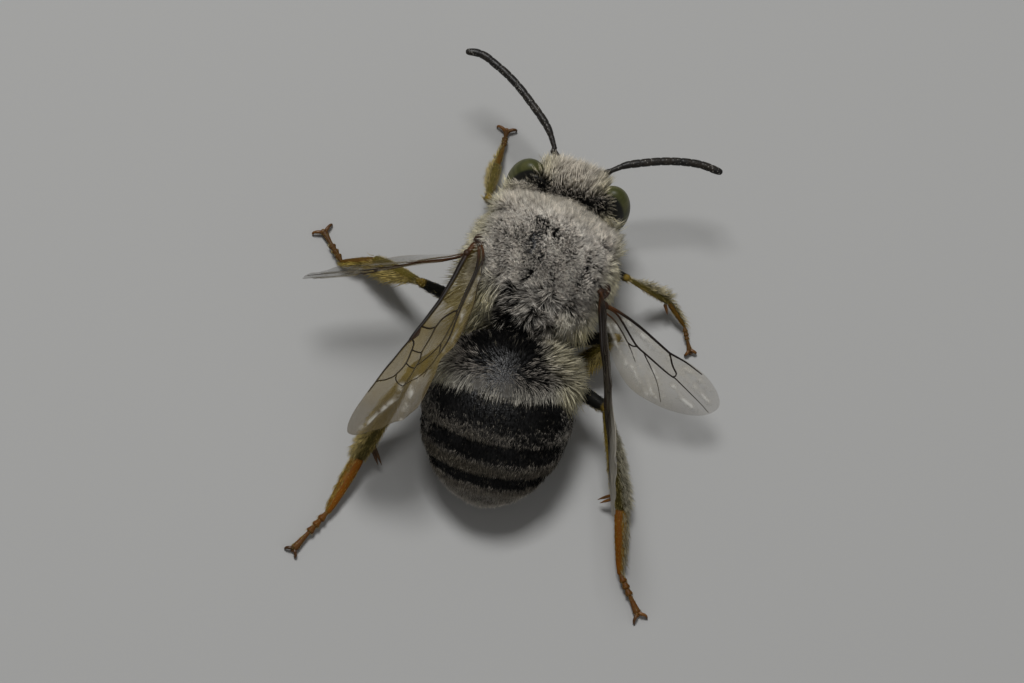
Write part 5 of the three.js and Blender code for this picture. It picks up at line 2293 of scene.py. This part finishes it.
@dataclass(frozen=True)
class Wing:
    """One wing: its plan, where it is hinged, where its length and width point, and how it is cambered."""

    name: str
    plan: WingPlan
    root: Point
    towards: Point
    across: Point
    camber: float
    cover: float
    # sheen: strength of the painted reflection along the creases
    sheen: float
    stretch: float
    seed: int
    rust: float = 1.3
    # folded: takes the darker film, painted shade for a wing seen nearly edge-on
    folded: bool = False

    SPAN_STEPS = 120
    CHORD_STEPS = 44
    THICKNESS = 0.028
    VEIN_STEP = 0.12
    VEIN_SIDES = 8
    VEIN_FLATNESS = 0.8
    STIGMA_ROWS = ((0.0, 0.05), (0.45, 0.17), (1.0, 0.06))
    STIGMA_STEPS = 12
    STIGMA_FLATNESS = 0.32
    HINGE_PLATES = ((0.02, 0.02, 0.24), (0.18, 0.3, 0.17))
    CREASE_DEPTH = 0.07
    CREASE_WIDTH = 0.1
    SHEEN_WIDTH = 0.15
    PLEATS = ((0.9, 0.035, 0.3), (2.3, 0.008, 1.1))

    def axes(self) -> tuple[Array, Array, Array]:
        """Directions of the wing.

        Returns:
            Unit vectors along, across and square to it.
        """
        along = unit(np.array(self.towards) - np.array(self.root))
        across = np.array(self.across) - along * np.dot(self.across, along)
        return along, unit(across), np.cross(along, unit(across))

    def lift(self, flat: Array) -> Array:
        """How far the membrane stands off its plane: camber, shallow pleats and creases.

        Args:
            flat: places along and across the wing, one a row.

        Returns:
            The height of each place.
        """
        u, w = flat.T
        length = self.plan.lead[-1][0]
        height = self.camber * np.sin(math.pi * held(u / length)) * (1 - 0.4 * np.abs(w - 1.0))
        for rate, depth, phase in self.PLEATS:
            height += depth * np.sin((w - 0.25 * u) * rate * 2.0 * math.pi + phase + self.seed)
        for crease in self.plan.creases:
            height -= self.CREASE_DEPTH * bump(self.nearness(flat, crease), self.CREASE_WIDTH)
        ripple = waves(np.column_stack([flat, np.zeros(len(flat))]), 0.9, self.seed)
        return (height + 0.012 * ripple) * ease(u, 0, 0.8)

    def stand(self, flat: Array, above: float | Array = 0.0) -> Array:
        """Places of the wing in the bee's frame.

        Args:
            flat: places along and across the wing, one a row.
            above: how far above the membrane's middle.

        Returns:
            The points.
        """
        along, across, square = self.axes()
        height = self.lift(flat) + above
        run = flat[:, :1] * self.stretch * along
        return np.array(self.root) + run + flat[:, 1:] * across + height[:, None] * square

    def membrane(self) -> Shape:
        """The thin closed sheet.

        Returns:
            Its mesh, with the marks outer, which rises towards the margin, sheen and cover.
        """
        front, rear = (smooth_path(edge, self.SPAN_STEPS) for edge in (self.plan.lead, self.plan.trail))
        share = np.linspace(0, 1, self.CHORD_STEPS)
        flat = front[:-1, None] * (1 - share[:, None]) + rear[:-1, None] * share[:, None]
        rows, columns = flat.shape[:2]
        flat = np.vstack([flat.reshape(-1, 2), front[-1:]])
        count = len(flat)
        half = self.THICKNESS / 2
        points = np.vstack([self.stand(flat, half), self.stand(flat, -half)])
        top = []
        for i in range(rows - 1):
            for j in range(columns - 1):
                a = i * columns + j
                top.append((a, a + columns, a + columns + 1, a + 1))
        last = (rows - 1) * columns
        top += [(last + j, count - 1, last + j + 1) for j in range(columns - 1)]
        rim = [*range(columns - 1, 0, -1), *range(0, rows * columns, columns), count - 1]
        rim += range(rows * columns - 1, columns, -columns)
        faces = top + [tuple(count + i for i in face[::-1]) for face in top]
        for a, b in zip(rim, rim[1:] + rim[:1]):
            faces.append((b, a, count + a, count + b))
        length = self.plan.lead[-1][0]
        outer = np.tile(ease(flat[:, 0] / length + 0.05 * (flat[:, 1] - 1.0), 0.62, 0.86), 2)
        near = np.min([self.nearness(flat, crease) for crease in self.plan.creases], axis=0)
        # painted reflection along the creases, carried by the mark sheen
        sheen = np.tile(self.sheen * bump(near, self.SHEEN_WIDTH), 2)
        cover = np.tile(self.cover * (0.25 + 0.75 * ease(flat[:, 0] / length, 0.12, 0.55)), 2)
        return Shape(points, faces).marked(outer=outer, sheen=sheen, cover=cover)

    @staticmethod
    def nearness(flat: Array, course: Plan) -> Array:
        """Distance of each place of the wing from a course on it."""
        path = smooth_path(course, 40)
        return np.min(np.linalg.norm(flat[:, None] - path[None], axis=2), axis=1)

    def veins(self) -> Shape:
        """All veins as thin tapered tubes on the membrane, with the stigma and the hinge plates.

        Returns:
            One mesh.
        """
        shapes = []
        for vein in self.plan.veins:
            length = np.linalg.norm(np.diff(vein.course, axis=0), axis=1).sum()
            steps = max(6, round(length / self.VEIN_STEP))
            flat = smooth_path(vein.course, steps)
            girth = np.linspace(vein.root, vein.tip, steps)
            depth = girth * self.VEIN_FLATNESS
            shapes.append(limb(self.stand(flat), girth, depth, self.axes()[2], self.VEIN_SIDES))
            reach = np.interp(shapes[-1].marks["along"], np.linspace(0, 1, steps), flat[:, 0])
            shapes[-1].marked(rusty=ease(reach, self.rust, 0.15 * self.rust))
        if self.plan.stigma:
            u, w = self.plan.stigma
            flat = np.array([[u - 0.42, w + 0.02], [u, w + 0.06], [u + 0.45, w - 0.06]])
            girth = np.interp(np.linspace(0, 1, self.STIGMA_STEPS), *zip(*self.STIGMA_ROWS))
            line = self.stand(smooth_path(flat, self.STIGMA_STEPS))
            shapes.append(limb(line, girth, girth * self.STIGMA_FLATNESS, self.axes()[2], 12))
            shapes[-1].marked(rusty=0.25)
        for u, w, size in self.HINGE_PLATES:
            centre = self.stand(np.array([[u, w]]))[0]
            plate = Ovoid(tuple(centre), size, size, size, size * 0.7, size * 0.7).shape(16, 10)
            shapes.append(plate.marked(along=0.0, rusty=0.3))
        return Shape.joined(shapes)

    def make(self, bench: Bench, film: Material, rib: Material) -> None:
        """Build the wing's two pieces.

        Args:
            bench: builds and places them.
            film: the membrane's material.
            rib: the veins' material.
        """
        bench.place(bench.build(f"{self.name}_veins", self.veins(), rib), "wing")
        bench.place(bench.build(f"{self.name}_membrane", self.membrane(), film), "wing", self.name)


@dataclass
class WingScale:
    """The glossy scale over the root of a pair of wings."""

    bench: Bench
    side: Side
    ovoid: Ovoid = Ovoid((3.0, -0.42, 4.64), 0.28, 0.4, 0.44, 0.2, 0.24)

    def make(self, paint: Material) -> None:
        """Build the scale.

        Args:
            paint: its material.
        """
        shape = self.ovoid.on(self.side).shape(48, 30)
        piece = self.bench.build(f"wing_scale_{self.side.value}", shape, paint)
        self.bench.place(piece, "wing_root", f"tegula_{self.side.value}")


# ---------------------------------------------------------------- studio
@dataclass(frozen=True)
class Lamp:
    """A soft square lamp that faces the bee. Its place and side are in metres, its power in watts."""

    name: str
    place: Point
    energy: float
    size: float

    def make(self) -> None:
        """Hang the lamp."""
        light = bpy.data.lights.new(self.name, "AREA")
        light.energy, light.size = self.energy, self.size
        lamp = stand_up(self.name, light)
        lamp.location = self.place
        lamp.rotation_euler = Vector(self.place).to_track_quat("Z", "Y").to_euler()


@dataclass(frozen=True)
class Studio:
    """Pale floor, soft light and the camera. The camera's aim and distance are in millimetres."""

    aim: Point = (0.0, 4.05, 6.3)
    elevation: float = 70.0
    roll: float = 21.5
    distance: float = 123.89
    lens: float = 100.0
    sensor: float = 36.0
    clip: tuple[float, float] = (0.001, 10.0)
    floor_size: float = 4.0
    world_light: float = 0.14
    world_colour: Colour = (1.0, 0.99, 0.97)
    lamps: tuple[Lamp, ...] = (
        Lamp("key", (0.09, -0.09, 0.29), 0.64, 0.09), Lamp("fill", (-0.22, 0.1, 0.2), 0.06, 0.25),
    )

    def camera(self, bench: Bench) -> None:
        """Stand the camera behind and above the bee, rolled a little.

        Args:
            bench: knows where the bee's own origin is.
        """
        rise, roll = math.radians(self.elevation), math.radians(self.roll)
        view = np.array([0.0, -math.cos(rise), -math.sin(rise)])
        level = unit(np.cross(view, UP))
        right = math.cos(roll) * level + math.sin(roll) * np.cross(level, view)
        at = (np.array(self.aim) - view * self.distance + bench.shift) * MILLIMETRE
        data = bpy.data.cameras.new("camera")
        data.lens, data.sensor_width, (data.clip_start, data.clip_end) = self.lens, self.sensor, self.clip
        camera = stand_up("camera", data)
        turn = Matrix((right, np.cross(right, view), -view)).transposed().to_4x4()
        camera.matrix_world = Matrix.Translation(Vector(at)) @ turn
        bpy.context.scene.camera = camera

    def floor(self) -> None:
        """Lay the floor."""
        h = self.floor_size / 2
        mesh = bpy.data.meshes.new("floor")
        mesh.from_pydata([(-h, -h, 0), (h, -h, 0), (h, h, 0), (-h, h, 0)], [], [(0, 1, 2, 3)])
        mesh.materials.append(FloorFinish().make())
        stand_up("floor", mesh)

    def make(self, bench: Bench) -> None:
        """Set the studio up.

        Args:
            bench: knows where the bee's own origin is.
        """
        self.floor()
        self.camera(bench)
        for lamp in self.lamps:
            lamp.make()
        world = bpy.data.worlds.new("studio")
        world.use_nodes = True
        sky = world.node_tree.nodes["Background"].inputs
        sky["Color"].default_value = (*self.world_colour, 1.0)
        sky["Strength"].default_value = self.world_light
        bpy.context.scene.world = world
        bpy.context.scene.view_settings.view_transform = "Standard"


# ---------------------------------------------------------------- the whole bee
@dataclass
class Bee:
    """The bee's pieces, in the order in which they are built."""

    bench: Bench
    groomer: Groomer

    ANTENNAE = (
        (Side.LEFT, ((0.6, -5.32, 3.7), (0.98, -5.68, 4.12), (1.42, -5.93, 4.42)),
         ((1.43, -6.09, 4.46), (1.93, -6.73, 4.52), (2.45, -7.18, 4.55), (3.14, -7.67, 4.55),
          (3.89, -8.18, 4.52), (4.67, -8.6, 4.5), (5.38, -8.89, 4.46), (5.89, -9.08, 4.42),
          (6.33, -9.11, 4.38), (6.73, -9.01, 4.35))),
        (Side.RIGHT, ((-0.6, -5.42, 3.7), (-0.92, -5.76, 4.05), (-1.28, -6.0, 4.35)),
         ((-1.36, -6.08, 4.4), (-1.85, -6.52, 4.5), (-2.45, -6.88, 4.55), (-3.3, -7.34, 4.55),
          (-4.15, -7.7, 4.52), (-5.05, -7.95, 4.48), (-6.0, -7.98, 4.45))),
    )
    # name, build, seed, foot tone, claw span, spurs, which way the brush faces, joints
    LEGS = (
        LegPose("foreleg_left", FORE, 42, 0.7, 0.46, (((3.75, -5.3, 1.3), (4.0, -5.7, 0.9)),),
                (0.9, 0.1, -0.2),
                ((0.7, -2.3, 2.0), (1.35, -2.75, 1.35), (3.4, -3.2, 3.0), (3.65, -5.55, 1.2),
                 (3.7, -6.9, 0.5), (3.85, -7.8, 0.2))),
        LegPose("foreleg_right", FORE_SLIM, 57, 0.5, 0.26, (((-5.95, -2.25, 1.1), (-6.2, -1.95, 0.85)),),
                (-0.1, -0.9, 0.2),
                ((-0.7, -2.3, 2.0), (-1.35, -2.75, 1.35), (-3.8, -2.0, 3.1), (-6.0, -2.45, 1.15),
                 (-7.15, -1.85, 0.5), (-7.75, -1.0, 0.2))),
        LegPose("midleg_left", MIDDLE, 78, 0.8, 0.5, (((6.9, 1.15, 1.0), (7.45, 1.6, 0.6)),),
                (0.0, 0.9, -0.2),
                ((1.2, 0.6, 1.7), (1.8, 1.4, 1.35), (4.75, 1.85, 3.1), (7.1, 0.9, 1.05),
                 (8.6, 1.35, 0.45), (9.85, 0.25, 0.2))),
        LegPose("midleg_right", MIDDLE, 43, 0.5, 0.3, (((-3.0, 2.1, 0.65), (-2.7, 2.6, 0.35)),),
                (-0.9, 0.1, 0.0),
                ((-1.2, 0.6, 1.7), (-1.8, 1.4, 1.35), (-4.35, 0.8, 2.9), (-3.0, 2.0, 0.75),
                 (-2.8, 3.45, 0.4), (-2.9, 4.65, 0.2))),
        LegPose("hindleg_left", HIND_GOLDEN, 33, 0.6, 0.3,
                (((4.05, 9.15, 1.05), (3.4, 9.7, 0.5)), ((4.05, 9.3, 0.95), (3.55, 9.75, 0.45))),
                (0.9, -0.1, 0.2),
                ((1.1, 2.0, 1.9), (1.9, 3.0, 1.5), (3.65, 6.0, 3.3), (4.45, 9.75, 0.95),
                 (4.85, 12.6, 0.45), (5.6, 14.6, 0.2))),
        LegPose("hindleg_right", HIND, 48, 0.55, 0.32,
                (((-6.75, 7.2, 1.05), (-6.2, 7.5, 0.55)), ((-6.85, 7.3, 0.95), (-6.35, 7.6, 0.5))),
                (-0.9, 0.1, 0.2),
                ((-1.1, 2.0, 1.9), (-1.9, 3.0, 1.5), (-5.0, 4.2, 3.2), (-7.25, 7.5, 1.0),
                 (-8.3, 10.3, 0.45), (-9.6, 11.6, 0.2))),
    )
    # name, plan, root, towards, across, camber, cover, sheen, stretch, seed, rust
    WINGS = (
        Wing("forewing_left", FOREWING, (3.05, -0.4, 4.75), (5.12, 10.07, 4.3), (-0.64, 0.16, 0.75),
             -0.25, 0.48, 0.6, 1.0, 3),
        Wing("forewing_right", FOREWING, (-2.85, -0.25, 4.8), (-6.85, 9.65, 5.8), (-0.04, 0.32, 0.95),
             0.07, 0.75, 0.0, 1.0, 5, folded=True),
        Wing("hindwing_left", HINDWING, (3.15, 0.2, 4.4), (9.7, 4.1, 4.05), (0.09, 0.2, 0.97),
             -0.15, 0.24, 0.4, 1.07, 7, 5.5),
        Wing("hindwing_right", HINDWING, (-3.2, 0.15, 4.4), (-9.62, 1.92, 2.4), (0.34, 0.89, -0.31),
             0.15, 0.16, 0.9, 1.0, 9),
    )

    def make(self) -> None:
        """Build every piece."""
        Body(self.bench).make(self.groomer)
        Face(self.bench).make()
        black, soot = (0.008, 0.007, 0.006), (0.02, 0.015, 0.01)
        lash = ShellFinish("antenna_shell", black, soot, 0.5, 0.1, dust_share=0.7).make()
        for antenna in self.ANTENNAE:
            Antenna(self.bench, *antenna).make(lash)
        skin = LegFinish().make()
        horn = ShellFinish("claw_horn", (0.06, 0.025, 0.006), (0.18, 0.075, 0.014), 0.4, 0.12).make()
        for pose in self.LEGS:
            Leg(self.bench, pose).make(self.groomer, skin, horn)
        scale = ShellFinish("wing_scale", (0.014, 0.007, 0.004), (0.045, 0.018, 0.007), 0.4, 0.15).make()
        for side in Side:
            WingScale(self.bench, side).make(scale)
        # the second film is a darker, more opaque copy of the membrane: painted shade for the right forewing,
        # seen nearly edge-on
        films = {
            False: MembraneFinish("wing_film").make(),
            True: MembraneFinish("wing_film_folded", (0.06, 0.048, 0.034), (0.42, 0.39, 0.33)).make(),
        }
        rib = VeinFinish().make()
        for wing in self.WINGS:
            wing.make(self.bench, films[wing.folded], rib)


def main() -> None:
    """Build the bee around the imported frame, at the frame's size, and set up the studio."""
    logging.basicConfig(level=logging.INFO, format="%(name)s %(message)s")
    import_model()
    bench = Bench()
    Bee(bench, Groomer(bench)).make()
    Studio().make(bench)


if __name__ == "__main__":
    main()
